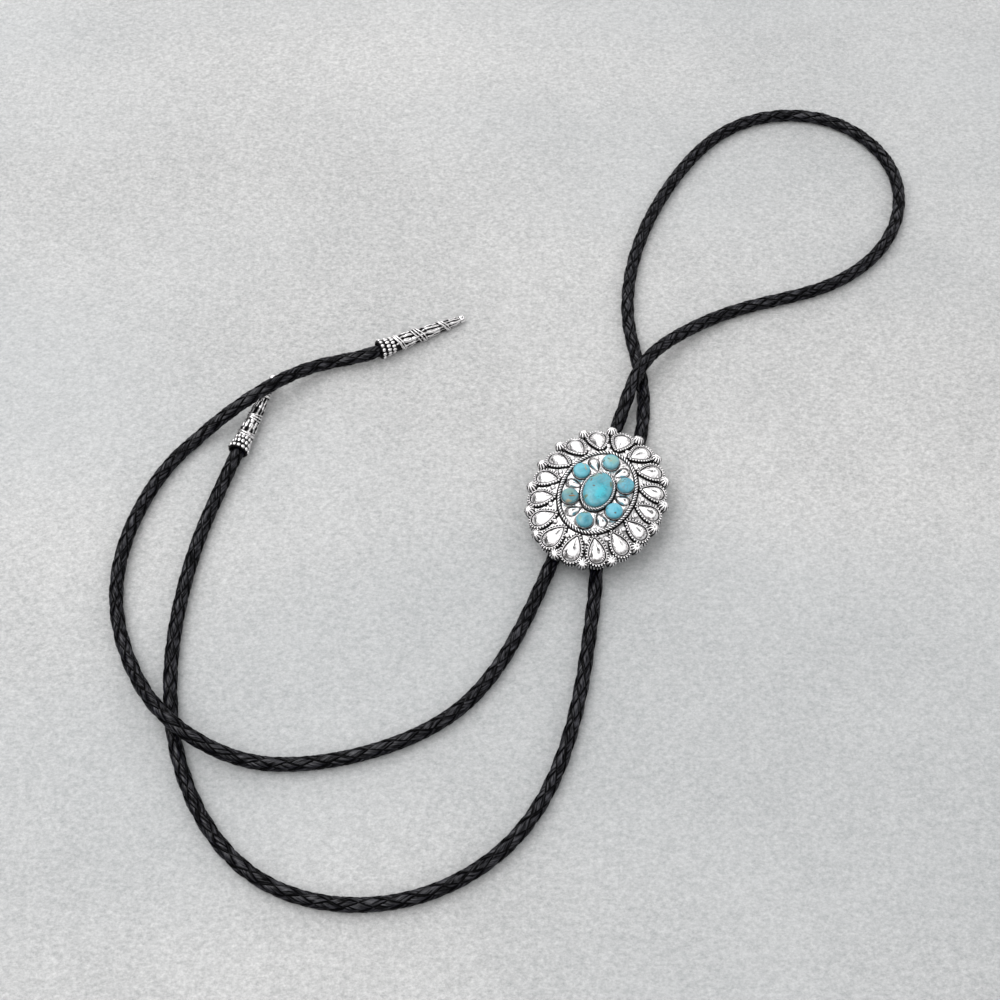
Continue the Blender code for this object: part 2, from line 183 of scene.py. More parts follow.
def new_finish(name):
    """A new material, its node tree and its surface shader."""
    finish = bpy.data.materials.new(name)
    finish.use_nodes = True
    return finish, finish.node_tree, finish.node_tree.nodes["Principled BSDF"]


def joined(tree, socket, value):
    """Sets an input to a number or a colour, or links it to another node's output."""
    if isinstance(value, bpy.types.NodeSocket):
        tree.links.new(value, socket)
    else:
        socket.default_value = value


def feed(tree, node, **values):
    """Sets a node's inputs, each by its name with _ for a space."""
    for name, value in values.items():
        joined(tree, node.inputs[name.replace("_", " ")], value)


def new_node(tree, kind, **values):
    node = tree.nodes.new("ShaderNode" + kind)
    feed(tree, node, **values)
    return node


def object_place(tree):
    """Where a point is in the tie's frame."""
    return new_node(tree, "TexCoord").outputs["Object"]


def mapped(tree, place, kind="POINT", **values):
    """A place that is moved, turned or stretched."""
    mapping = new_node(tree, "Mapping")
    mapping.vector_type = kind
    feed(tree, mapping, Vector=place, **values)
    return mapping.outputs["Vector"]


def read_mesh(tree, name, output="Fac"):
    """A value that a mesh carries from point to point."""
    reader = new_node(tree, "Attribute")
    reader.attribute_name = name
    return reader.outputs[output]


def noise(tree, place, scale, detail=3.0, roughness=0.6, distortion=0.0):
    """The grey value of a noise texture over a place."""
    return new_node(tree, "TexNoise", Vector=place, Scale=scale, Detail=detail,
                    Roughness=roughness, Distortion=distortion).outputs["Fac"]


def ranged(tree, value, low, high, to_low=0.0, to_high=1.0, smooth=False):
    """A value stretched from one range to another and held inside it."""
    stretch = new_node(tree, "MapRange", Value=value, From_Min=low, From_Max=high,
                       To_Min=to_low, To_Max=to_high)
    stretch.interpolation_type = "SMOOTHSTEP" if smooth else "LINEAR"
    return stretch.outputs["Result"]


def sums(tree, operation, first, second, clamp=False):
    """One step of arithmetic on two values or numbers."""
    step = new_node(tree, "Math")
    step.operation = operation
    step.use_clamp = clamp
    joined(tree, step.inputs[0], first)
    joined(tree, step.inputs[1], second)
    return step.outputs["Value"]


def blended(tree, share, first, second):
    """A colour between two colours, each a colour or another blend."""
    mix = new_node(tree, "Mix")
    mix.data_type = "RGBA"
    feed(tree, mix, Factor=share, A=first, B=second)
    return mix.outputs["Result"]


def embossed(tree, shader, height, depth):
    """Raises a surface by a height map, whose full range is depth, and gives its normal."""
    normal = new_node(tree, "Bump", Strength=1.0, Distance=depth, Height=height).outputs["Normal"]
    feed(tree, shader, Normal=normal)
    return normal


def unit(vectors):
    return vectors / np.linalg.norm(vectors, axis=-1, keepdims=True)


def run_of(points):
    """How far along a line each of its points is."""
    steps = np.linalg.norm(np.diff(points, axis=0), axis=1)
    return np.concatenate(([0.0], np.cumsum(steps)))


def laid_line(route, count):
    """Evenly spaced points on a natural cubic curve through a route's points."""
    knots = run_of(route)
    gaps = np.diff(knots)[:, None]
    slopes = np.diff(route, axis=0) / gaps
    system = np.eye(len(route))
    right = np.zeros_like(route)
    for k in range(1, len(route) - 1):
        system[k, k - 1:k + 2] = (gaps[k - 1, 0], 2.0 * (gaps[k - 1, 0] + gaps[k, 0]), gaps[k, 0])
        right[k] = 6.0 * (slopes[k] - slopes[k - 1])
    bend = np.linalg.solve(system, right)
    b = np.linspace(0.0, 1.0, CURVE_STEPS, endpoint=False)[None, :, None]
    a = 1.0 - b
    curve = (a ** 3 - a) * bend[:-1, None] + (b ** 3 - b) * bend[1:, None]
    fine = a * route[:-1, None] + b * route[1:, None] + curve * gaps[:, None] ** 2 / 6.0
    fine = np.concatenate((fine.reshape(-1, 3), route[-1:]))
    fine[:, 2] = np.maximum(fine[:, 2], CORD_RADIUS)
    run = run_of(fine)
    even = np.linspace(0.0, run[-1], count)
    return np.column_stack([np.interp(even, run, fine[:, axis]) for axis in range(3)])


def rounded(angle, squareness):
    """The cosine and sine of an angle, pressed towards a square's corners below 1."""
    x, y = np.cos(angle), np.sin(angle)
    return np.sign(x) * np.abs(x) ** squareness, np.sign(y) * np.abs(y) ** squareness


def around(count, offset=0.5):
    """Even steps of a full turn."""
    return 2.0 * math.pi * (np.arange(count) + offset) / count


def swept(line, outward, width, thickness, turns, squareness=1.0, loop=False):
    """Rings of a strip swept along a line, its thickness lying along the outward way."""
    if loop:
        heading = unit(np.roll(line, -1, axis=0) - np.roll(line, 1, axis=0))
    else:
        heading = unit(np.gradient(line, axis=0))
    upward = unit(outward - (outward * heading).sum(axis=1, keepdims=True) * heading)
    sideways = np.cross(upward, heading)
    u, v = rounded(turns, squareness)
    width = np.broadcast_to(width, len(line))[:, None, None]
    thickness = np.broadcast_to(thickness, len(line))[:, None, None]
    return (line[:, None] + sideways[:, None] * u[:, None] * width / 2.0
            + upward[:, None] * v[:, None] * thickness / 2.0)


def skinned(rings, shades, loop=False):
    """The points, faces and shades of a closed skin over rings of points."""
    rows, sides = rings.shape[:2]
    row = np.arange(rows if loop else rows - 1)[:, None]
    spot = np.arange(sides)[None, :]
    after = (spot + 1) % sides
    below = (row + 1) % rows
    corners = np.broadcast_arrays(row * sides + spot, row * sides + after,
                                  below * sides + after, below * sides + spot)
    faces = np.stack(corners, axis=-1).reshape(-1, 4).tolist()
    if not loop:
        faces.append(list(range(sides - 1, -1, -1)))
        faces.append(list(range((rows - 1) * sides, rows * sides)))
    return rings.reshape(-1, 3), faces, np.broadcast_to(shades, (rows, sides)).reshape(-1)


def made(name, skins, finish, shade_name="oxide_and_shade_level", sharp=None):
    """Joins skins into one piece that rides on the tie's one body."""
    points, faces, shades = zip(*skins)
    starts = np.cumsum([0] + [len(part) for part in points]).tolist()
    joined_faces = [[corner + start for corner in face]
                    for start, part in zip(starts, faces) for face in part]
    mesh = bpy.data.meshes.new(name)
    mesh.from_pydata(np.concatenate(points).tolist(), [], joined_faces)
    shading = mesh.attributes.new(shade_name, "FLOAT", "POINT")
    shading.data.foreach_set("value", np.concatenate(shades).astype(np.float32))
    mesh.shade_smooth()
    if sharp is not None:
        mesh.set_sharp_from_angle(angle=sharp)
    mesh.materials.append(finish)
    piece = placed(name, mesh)
    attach(piece, "root")
    return piece


def leather_finish():
    """Black leather, polished on its raised faces, which are also painted a bluish sheen, with a
    fine grain along each strip.
    """
    finish, tree, shader = new_finish("black_leather")
    streaks = noise(tree, read_mesh(tree, "strip_place", "Vector"), LEATHER_GRAIN, 4.0, 0.65, 0.3)
    pores = noise(tree, object_place(tree), LEATHER_PORES, 3.0, 0.65)
    sheen_streaks = ranged(tree, streaks, *LEATHER_SHEEN_STREAKS)
    polish_and_painted_sheen = sums(tree, "MULTIPLY", read_mesh(tree, "strip_face"), sheen_streaks)
    relief = sums(tree, "ADD", sums(tree, "MULTIPLY", pores, 0.3), streaks)
    bump = embossed(tree, shader, relief, LEATHER_RELIEF)
    feed(tree, shader, Base_Color=blended(tree, polish_and_painted_sheen, LEATHER_BLACK, LEATHER_PAINTED_SHEEN),
         Roughness=ranged(tree, pores, 0.3, 0.7, *LEATHER_ROUGHNESS), Specular_IOR_Level=0.03,
         Coat_Weight=polish_and_painted_sheen, Coat_Roughness=0.30, Coat_IOR=1.95, Coat_Normal=bump)
    return finish


cord_line = laid_line(np.array(CORD_ROUTE) * MM, CORD_STEPS)
cord_run = run_of(cord_line)
cord_length = float(cord_run[-1])
cord_heading = unit(np.gradient(cord_line, axis=0))
cord_side = unit(np.cross(cord_heading, (0.0, 0.0, 1.0)))
cord_top = np.cross(cord_side, cord_heading)
lay_share, lay_turn = np.array(CORD_LAY).T
cord_turn = 2.0 * math.pi / (np.interp(cord_run / cord_length, lay_share, lay_turn) * MM)
cord_twist = np.cumsum(cord_turn) * cord_length / CORD_STEPS


def plaited_strip(hand, start):
    """One strip of the plait. Hand is 1 for a strip that winds one way and -1 for the other."""
    turn = hand * cord_twist + start
    slant = turn[:, None] + PLAIT_SLANT * STRIP_ACROSS / PLAIT_RADIUS
    over = hand * np.cos(PLAIT_HAND * slant)
    angle = turn - hand * PLAIT_LINGER * np.sin(PLAIT_HAND * turn)
    outward = cord_side * np.cos(angle)[:, None] + cord_top * np.sin(angle)[:, None]
    middle = cord_line + outward * PLAIT_RADIUS
    rings = swept(middle, outward, STRIP_WIDTH, STRIP_THICKNESS, STRIP_TURNS, STRIP_SQUARENESS)
    lift = PLAIT_WEAVE * over - STRIP_ACROSS ** 2 / (2.0 * STRIP_CURVE)
    rings += outward[:, None] * lift[:, :, None]
    return skinned(rings, STRIP_FACE)


def strip_places(number):
    """Where each point of a strip is on its flat leather: across, along and which strip."""
    places = np.broadcast_arrays(STRIP_ACROSS, cord_run[:, None] * GRAIN_STRETCH,
                                 number * STRIP_WIDTH)
    return np.stack(places, axis=-1).reshape(-1, 3)


def cord_core():
    """The dark filling inside the plait."""
    thick = 2.0 * CORE_RADIUS
    return skinned(swept(cord_line, cord_top, thick, thick, around(CORE_SIDES)), 0.0)


strip_u, strip_v = rounded(STRIP_TURNS, STRIP_SQUARENESS)
# Each strip is marked 1 on its top face and 0 at its edges; the edges are painted black as the shade
# between strips, and lose their polish
STRIP_FACE = np.clip(strip_v * FACE_STEEPNESS - FACE_START, 0.0, 1.0)
STRIP_ACROSS = strip_u * STRIP_WIDTH / 2.0
cord_strips = [plaited_strip(hand, 2.0 * math.pi * number / PLAIT_HAND)
               for hand in (1, -1) for number in range(PLAIT_HAND)]
cord_strips.append(cord_core())
cord = made("plaited_cord", cord_strips, leather_finish(), "strip_face")
places = [strip_places(number) for number in range(2 * PLAIT_HAND)]
places.append(np.zeros((CORD_STEPS * CORE_SIDES, 3)))
strip_place = cord.data.attributes.new("strip_place", "FLOAT_VECTOR", "POINT")
strip_place.data.foreach_set("vector", np.concatenate(places).astype(np.float32).ravel())
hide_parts("cord")

# The tips. Two tapered castings are glued over the cord's ends. Each is made like a bundle of
# reeds bound with wire, with a collar of pebbles round its mouth and a round end.
TIP_BORE = 2.45
TIP_BORE_DEPTH = 6.3
TIP_SIDES = 48
SILVER_BRIGHT = (0.905, 0.890, 0.895, 1.0)
# Black, painted where the metal has oxide in its hollows and where shade falls on it
SILVER_OXIDE_AND_SHADE = (0.012, 0.011, 0.012, 1.0)
SILVER_POLISH = (0.104, 0.169)
SILVER_RUBBING = 5200.0
SILVER_WAVES = 380.0
SILVER_SKIN = 1500.0
SILVER_RELIEF = 0.34 * MM
OXIDE_PATCHES = 1100.0
OXIDE_DRIFT = 0.18
OXIDE_DULLNESS = 0.35
REED_COUNT = 8
REED_STEPS = 60
REED_SIDES = 10
REED_UNEVEN = 0.22
BOUND_DARK = 0.75
BEAD_TOP = 80.0
BEAD_FOOT = -35.0
FLAT_BEAD_FOOT = -30.0
BEAD_RINGS = 7
PEBBLE_SIDES = 10
PEBBLE_DARK = 1.5
END_SIDES = 24

# One tip a row: the middle of its mouth in mm, and how it is turned in degrees
TIPS = (
    # node, x, y, z, bearing from +X, slope down to the point, roll
    ("tip_upper", -81.6, 27.2, 3.21, 50.7, 3.5, 0.0),
    ("tip_lower", -104.2, -23.0, 3.15, 95.2, 1.0, 70.0),
)

# The body under a tip's raised work, from the foot of its bore out over the mouth, painted dark all
# over as oxide and as the shade between the reeds
TIP_BODY = (
    # distance from the mouth, radius, in mm, darkness painted as oxide and shade
    (TIP_BORE_DEPTH, 0.05, 1.0),
    (TIP_BORE_DEPTH, TIP_BORE, 1.0),
    (0.05, TIP_BORE, 1.0),
    (0.0, 2.66, 1.0),
    (0.2, 2.90, 1.0),
    (1.5, 2.80, 1.0),
    (2.0, 2.50, 1.0),
    (6.6, 2.15, 1.0),
    (7.2, 1.70, 1.0),
    (27.6, 0.62, 1.0),
    (27.9, 0.90, 1.0),
)

# The bright round end
TIP_END = (
    # distance from the mouth, radius, in mm, darkness painted as oxide and shade
    (27.6, 0.50, 1.0),
    (27.8, 1.00, 0.7),
    (28.0, 1.18, 0.1),
    (28.9, 1.20, 0.0),
    (29.35, 1.05, 0.0),
    (29.55, 0.70, 0.0),
    (29.6, 0.20, 0.0),
)

# Radius of the bundle of reeds along the tip
REED_REACH = (
    # distance from the mouth, radius, in mm
    (5.0, 2.35),
    (6.8, 2.25),
    (9.2, 2.42),
    (11.8, 2.14),
    (13.8, 1.92),
    (17.0, 2.02),
    (20.2, 1.66),
    (22.2, 1.48),
    (25.0, 1.42),
    (27.9, 1.05),
)
REED_KNOTS = (
    # depth as a share of the bundle, radians for each mm, radians for each reed
    (0.07, 2.1, 2.4),
    (0.05, 4.3, 5.1),
)
REED_SWAY = (
    # radians to either side, radians for each mm, radians for each reed
    0.10, 0.8, 1.7,
)
BOUND_PLACES = (
    # distance from the mouth to the middle of a binding, half its length, in mm
    (6.7, 1.7),
    (13.8, 2.1),
    (22.2, 1.9),
)

# Rows of pebbles round the collar
PEBBLE_ROWS = (
    # distance, radius, length, width, height in mm, count, share of a step turned
    (0.85, 2.78, 1.25, 1.30, 1.15, 13, 0.0),
    (2.75, 2.44, 1.55, 1.15, 1.00, 13, 0.5),
    (4.45, 2.26, 1.45, 1.08, 0.95, 13, 0.0),
)

# Wires bound once round the reeds
BINDINGS = (
    # first distance, distance gained, share of a turn it starts at, radius over the reeds, in mm
    (5.6, 2.4, 0.15, 0.44),
    (8.1, -2.2, 0.55, 0.20),
    (7.3, -2.2, 0.60, 0.20),
    (12.2, 3.2, 0.15, 0.44),
    (15.5, -2.6, 0.55, 0.20),
    (14.7, -2.6, 0.60, 0.20),
    (13.9, -2.6, 0.65, 0.20),
    (20.8, 2.9, 0.15, 0.42),
    (23.7, -2.5, 0.55, 0.20),
    (22.9, -2.5, 0.60, 0.20),
)
BINDING_STEPS = 64
BINDING_SIDES = 8
BINDING_WIRE = 0.48


def silver_finish():
    """Polished cast metal, painted black where the mesh marks it, as oxide and as painted shade."""
    finish, tree, shader = new_finish("silver_with_oxide_and_painted_shade")
    place = object_place(tree)
    drift = ranged(tree, noise(tree, place, OXIDE_PATCHES, 4.0, 0.65), 0.3, 0.7,
                   -OXIDE_DRIFT, OXIDE_DRIFT)
    oxide_and_shade_level = sums(tree, "ADD", read_mesh(tree, "oxide_and_shade_level"), drift)
    oxide_and_shade_share = ranged(tree, oxide_and_shade_level, 0.20, 0.80, smooth=True)
    rubbing = noise(tree, place, SILVER_RUBBING, 2.0, 0.5)
    shine = ranged(tree, rubbing, 0.3, 0.7, *SILVER_POLISH)
    dull = sums(tree, "MULTIPLY", oxide_and_shade_share, OXIDE_DULLNESS)
    waves = noise(tree, place, SILVER_WAVES, 2.0, 0.45)
    skin_height = sums(tree, "MULTIPLY", noise(tree, place, SILVER_SKIN, 3.0, 0.6), 0.2)
    embossed(tree, shader, sums(tree, "ADD", waves, skin_height), SILVER_RELIEF)
    feed(tree, shader, Base_Color=blended(tree, oxide_and_shade_share, SILVER_BRIGHT, SILVER_OXIDE_AND_SHADE),
         Roughness=sums(tree, "ADD", shine, dull), Metallic=1.0)
    return finish


def set_down(points, turn, place):
    return points @ turn.T + place


def bead_shape(radius, sides, lowest=BEAD_FOOT, dark=1.80):
    """The rings of a small bead, from lowest to BEAD_TOP in degrees, and their painted oxide and
    shade.
    """
    angles = np.radians(np.linspace(lowest, BEAD_TOP, BEAD_RINGS))
    turn = around(sides, 0.0)
    circle = np.stack((np.cos(turn), np.sin(turn), np.zeros(sides)), axis=1)
    rings = [circle * math.cos(angle) * radius + (0.0, 0.0, math.sin(angle) * radius)
             for angle in angles]
    return np.array(rings), np.clip(dark - 2.6 * np.sin(angles), 0.0, 1.0)[:, None]


def round_axis(along, radius, angle):
    """Points round a tip's axis, which is +X, and their outward ways."""
    outward = np.stack((np.zeros_like(angle), np.cos(angle), np.sin(angle)), axis=-1)
    points = outward * np.asarray(radius)[..., None]
    points[..., 0] = along
    return points, outward


def turned(rows, sides):
    """A part of a tip that is turned round its axis."""
    rings = [round_axis(along, np.full(sides, radius), around(sides, 0.0))[0]
             for along, radius, _ in rows]
    return skinned(np.array(rings), np.array(rows)[:, 2:])


def bundle_radius(along):
    return np.interp(along, *np.array(REED_REACH).T)


def reed(number):
    """One reed of the bundle, with small knots along it."""
    along = np.linspace(REED_REACH[0][0], REED_REACH[-1][0], REED_STEPS)
    share = math.sin(math.pi / REED_COUNT)
    centre = bundle_radius(along) / (1.0 + share)
    knots = sum(depth * np.sin(along * waves + number * shift) for depth, waves, shift in REED_KNOTS)
    sway, waves, shift = REED_SWAY
    angle = 2.0 * math.pi * number / REED_COUNT + sway * np.sin(along * waves + number * shift)
    line, outward = round_axis(along, centre + knots * centre * 0.6, angle)
    uneven = 1.0 + REED_UNEVEN * math.sin(number * 2.7)
    thick = 2.0 * centre * share * (0.98 + knots) * uneven
    sides = around(REED_SIDES)
    rings = swept(line, outward, thick, thick, sides)
    # Each reed is painted dark down its sides and underneath, as oxide in the grooves between reeds
    # and as painted shade, and darker still along each binding
    shades = np.tile(1.45 - 1.9 * np.sin(sides), (REED_STEPS, 1))
    for middle, half in BOUND_PLACES:
        shades[np.abs(along - middle) < half] += BOUND_DARK
    return skinned(rings, np.clip(shades, 0.0, 1.0))


def binding(first, gain, start, over):
    """One wire bound round the bundle."""
    share = np.linspace(0.0, 1.0, BINDING_STEPS)
    along = first + gain * (0.5 - 0.5 * np.cos(2.0 * math.pi * share))
    radius = bundle_radius(along) + over
    line, outward = round_axis(along, radius, 2.0 * math.pi * (start + share))
    sides = around(BINDING_SIDES)
    rings = swept(line, outward, BINDING_WIRE, BINDING_WIRE, sides)
    # A wire is painted dark on its sides and underneath, as oxide where it meets the reeds and as
    # painted shade
    return skinned(rings, np.clip(0.6 - np.sin(sides) * 1.4, 0.0, 1.0))


def pebble(along, radius, angle, length, width, height):
    """One flat pebble on the collar."""
    rings, shades = bead_shape(1.0, PEBBLE_SIDES, FLAT_BEAD_FOOT, PEBBLE_DARK)
    _, outward = round_axis(0.0, np.array(1.0), np.array(angle))
    turn = np.stack((np.array((1.0, 0.0, 0.0)), np.cross(outward, (1.0, 0.0, 0.0)), outward), axis=1)
    place = outward * radius + np.array((along, 0.0, 0.0))
    sized = rings * np.array((length / 2.0, width / 2.0, height / 2.0))
    return skinned(set_down(sized, turn, place), shades)


silver = silver_finish()
tip_skins = [turned(TIP_BODY, TIP_SIDES), turned(TIP_END, END_SIDES)]
tip_skins += [reed(number) for number in range(REED_COUNT)]
tip_skins += [binding(*row) for row in BINDINGS]
for along, radius, length, width, height, count, offset in PEBBLE_ROWS:
    for angle in around(count, offset):
        tip_skins.append(pebble(along, radius, angle, length, width, height))

for node, x, y, z, bearing, slope, roll in TIPS:
    turn = Matrix.Identity(3)
    for degrees, axis in ((bearing, "Z"), (slope, "Y"), (roll, "X")):
        turn = turn @ Matrix.Rotation(math.radians(degrees), 3, axis)
    skins = [(set_down(points * MM, np.array(turn), np.array((x, y, z)) * MM), faces, shades)
             for points, faces, shades in tip_skins]
    tip = made("bound_" + node, skins, silver)
    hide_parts(node)

# The slide's face. One silver-coloured casting, blackened with oxide and then polished, so
# that its raised work shines and its grooves stay dark. Shade is painted dark onto it too: on
# the lower sides of beads and wires, under its edge and round raised parts. This is its
# plate: a low oval dome with a bright field for the stones, a slope for the petals and a
# fluted, scalloped edge.
FIELD_Z = 9.9 * MM
FIELD_MIDDLE_Z = 10.1 * MM
SLOPE_TOP_Z = 9.75 * MM
CEILING_Z = 8.1 * MM
RIM_OVAL = (18.5 * MM, 22.7 * MM)
PETAL_OVAL = (15.5 * MM, 20.0 * MM)
ROPE_OVAL = (10.7 * MM, 14.3 * MM)
STONE_OVAL = (7.45 * MM, 10.6 * MM)
PEAR_OVAL = (7.3 * MM, 10.3 * MM)
PETAL_COUNT = 16
STONE_COUNT = 6
PETAL_SEAT_Z = 8.2 * MM
PETAL_SLOPE = math.radians(19.0)
PETAL_OUTER_END = 3.1 * MM
PETAL_DOME = (7.0 * MM, 4.45 * MM)
PETAL_LEDGE = 1.02 * MM
PETAL_SIDE_SIZE = 0.94
PETAL_END_SIZE = 1.06
PEAR_TIP = 0.22 * MM
SMALL_PEAR = (4.4 * MM, 2.9 * MM)
RIM_TOP_Z = 7.1 * MM
RIM_BOTTOM_Z = 5.3 * MM
RIM_SCALLOP = 0.65 * MM
RIM_SPREAD = 0.15 * MM
FLUTES_PER_PETAL = 10
FLUTE_STEPS = 6
FLUTE_DEPTH = 0.22 * MM
FIELD_ROWS = 40
SLOPE_ROWS = 30
ROUND_STONE_RADIUS = 2.4 * MM
CENTRE_STONE = (3.9 * MM, 5.9 * MM)
CENTRE_ROPE_OVAL = (4.46 * MM, 6.46 * MM)
STONE_GAP = 0.06 * MM
ROUND_COLLAR_WALL = 0.18 * MM
OUTLINE_REACH = 0.20 * MM
SLOPE_SHADE = 0.32
OVAL_FINENESS = 4001
PEAR_FINENESS = 2001
POINTS_AT_ONCE = 4000


def oval_spots(oval, count, offset=0.0):
    """Points at equal steps round an oval, clockwise from +Y, and their outward ways."""
    turn = np.linspace(0.0, 2.0 * math.pi, OVAL_FINENESS)
    x, y = oval[0] * np.sin(turn), oval[1] * np.cos(turn)
    run = np.concatenate(([0.0], np.cumsum(np.hypot(np.diff(x), np.diff(y)))))
    angle = np.interp((np.arange(count) + offset) / count * run[-1], run, turn)
    flat = np.zeros(count)
    spots = np.stack((oval[0] * np.sin(angle), oval[1] * np.cos(angle), flat), axis=1)
    outward = np.stack((np.sin(angle) / oval[0], np.cos(angle) / oval[1], flat), axis=1)
    return spots, unit(outward)


def grown(oval, amount):
    return oval[0] + amount, oval[1] + amount


def pear_outline(length, width, count, growth=0.0):
    """Even points round a pear grown outwards, its round end at +X and its blunt point at -X."""
    length, width, tip = length + 2.0 * growth, width + 2.0 * growth, PEAR_TIP + growth
    turn = np.linspace(0.0, 2.0 * math.pi, PEAR_FINENESS)
    widest = 4.0 / math.sqrt(27.0)
    x = np.cos(turn) * (length / 2.0 - tip)
    y = np.sin(turn) * np.abs(np.cos(turn / 2.0)) / widest * (width / 2.0 - tip)
    way = np.unwrap(np.arctan2(-np.gradient(x), np.gradient(y)))
    edge = np.stack((x + tip * np.cos(way), y + tip * np.sin(way)), axis=1)
    run = run_of(edge)
    even = np.linspace(0.0, run[-1], count, endpoint=False)
    way = np.interp(even, run, way)
    x = np.interp(even, run, x) + tip * np.cos(way)
    y = np.interp(even, run, y) + tip * np.sin(way)
    return np.stack((x, y, np.zeros(count)), axis=1)


def facing_out(spot, outward, height, slope=0.0):
    """A turn and a place for a shape whose +X points away from the face's middle."""
    across = np.array((-outward[1], outward[0], 0.0))
    along = outward * math.cos(slope) - np.array((0.0, 0.0, math.sin(slope)))
    turn = np.stack((along, across, np.cross(along, across)), axis=1)
    return turn, spot + np.array((0.0, 0.0, height))


def ring_of(rings, shades, oval, count, height, slope=0.0):
    """Copies of a shape round an oval, each half a step on from a petal and facing outwards."""
    return [skinned(set_down(rings, *facing_out(spot, way, height, slope)), shades)
            for spot, way in zip(*oval_spots(oval, count, 0.5))]


def petal_seats():
    """Where each petal stands, the length and width of its dome, and the dome's middle."""
    seats = []
    for spot, way in zip(*oval_spots(PETAL_OVAL, PETAL_COUNT)):
        towards_end = (spot[1] / PETAL_OVAL[1]) ** 2
        size = PETAL_SIDE_SIZE + (PETAL_END_SIZE - PETAL_SIDE_SIZE) * towards_end
        length, width = PETAL_DOME[0] * size, PETAL_DOME[1] * size
        middle = np.array((PETAL_OUTER_END - length / 2.0, 0.0, 0.0))
        seats.append((facing_out(spot, way, PETAL_SEAT_Z, PETAL_SLOPE), length, width, middle))
    return seats


def face_plate():
    """The plate's rings, from the middle of its face out over the edge and back underneath."""
    count = PETAL_COUNT * FLUTES_PER_PETAL * FLUTE_STEPS
    phase = (np.arange(count) + 0.5) / count * PETAL_COUNT * 2.0 * math.pi
    scallop = RIM_SPREAD + RIM_SCALLOP * np.cos(phase)
    flute = 0.5 - 0.5 * np.cos(phase * FLUTES_PER_PETAL)
    rings, shades = [], []

    def row(oval, height, shade, push=0.0):
        spots, outward = oval_spots(oval, count, 0.5)
        ring = spots + outward * np.broadcast_to(push, count)[:, None]
        ring[:, 2] = height
        rings.append(ring)
        shades.append(np.broadcast_to(shade, count))

    for share in np.linspace(0.03, 1.0, FIELD_ROWS):
        height = FIELD_MIDDLE_Z + (FIELD_Z - FIELD_MIDDLE_Z) * share
        row((ROPE_OVAL[0] * share, ROPE_OVAL[1] * share), height, 0.0)
    slope_top, slope_foot = grown(ROPE_OVAL, 0.3 * MM), grown(RIM_OVAL, -0.3 * MM)
    for share in np.linspace(0.0, 1.0, SLOPE_ROWS):
        oval = tuple(a + (b - a) * share for a, b in zip(slope_top, slope_foot))
        row(oval, SLOPE_TOP_Z + (RIM_TOP_Z + 0.1 * MM - SLOPE_TOP_Z) * share, 0.0,
            scallop * share)
    # Down the edge the flute valleys are darkened as oxide, and the underside is painted darker as
    # shade
    row(grown(RIM_OVAL, 0.05 * MM), RIM_TOP_Z, 0.2 + 0.8 * flute, scallop)
    wall = scallop - FLUTE_DEPTH * flute + 0.1 * MM
    row(RIM_OVAL, RIM_TOP_Z - 0.2 * MM, 0.1 + flute, wall)
    row(RIM_OVAL, RIM_TOP_Z - 0.9 * MM, 0.1 + flute, wall + 0.1 * MM)
    row(RIM_OVAL, RIM_BOTTOM_Z + 0.2 * MM, 0.2 + flute, wall + 0.25 * MM)
    row(grown(RIM_OVAL, -0.2 * MM), RIM_BOTTOM_Z, 0.6, scallop)
    row(grown(RIM_OVAL, -1.6 * MM), RIM_BOTTOM_Z, 0.6)
    row(grown(RIM_OVAL, -2.4 * MM), RIM_BOTTOM_Z + 0.8 * MM, 0.7)
    row(ROPE_OVAL, CEILING_Z, 0.6)
    row((ROPE_OVAL[0] * 0.03, ROPE_OVAL[1] * 0.03), CEILING_Z, 0.6)
    return np.array(rings), np.array(shades)


def nearness(points, edges, reach):
    """From 1 on the edges' points to 0 well away from them, seen from above."""
    edges = np.concatenate(edges)[:, :2]
    nearest = np.empty(len(points))
    for first in range(0, len(points), POINTS_AT_ONCE):
        part = points[first:first + POINTS_AT_ONCE, :2]
        apart = np.linalg.norm(part[:, None] - edges, axis=2)
        nearest[first:first + POINTS_AT_ONCE] = apart.min(axis=1)
    return np.exp(-(nearest / reach) ** 2)


def field_edges():
    """Outlines painted dark on the field, as oxide and shade: the stones' collars, the small pears
    and the two ropes.
    """
    collar = ROUND_STONE_RADIUS + STONE_GAP + ROUND_COLLAR_WALL
    circle, _ = oval_spots((collar, collar), 120)
    edges = [circle + stone for stone in oval_spots(STONE_OVAL, STONE_COUNT)[0]]
    outline = pear_outline(*grown(SMALL_PEAR, 0.3 * MM), 120)
    for spot, way in zip(*oval_spots(PEAR_OVAL, STONE_COUNT, 0.5)):
        edges.append(set_down(outline, *facing_out(spot, way, 0.0)))
    edges += [oval_spots(grown(ROPE_OVAL, -reach * MM), 700)[0] for reach in (0.45, 0.62, 0.78)]
    edges += [oval_spots(grown(CENTRE_ROPE_OVAL, reach * MM), 400)[0] for reach in (0.3, 0.5, 0.65)]
    return edges


def slope_edges():
    """The outlines painted dark on the slope, as oxide and shade: the petals' ledges and the foot of
    the rope.
    """
    edges = [oval_spots(grown(ROPE_OVAL, reach * MM), 900)[0] for reach in (0.25, 0.45)]
    for seat, length, width, middle in petal_seats():
        outline = pear_outline(length, width, 160, PETAL_LEDGE)
        edges.append(set_down(outline + middle, *seat))
    return edges


plate_rings, plate_shades = face_plate()
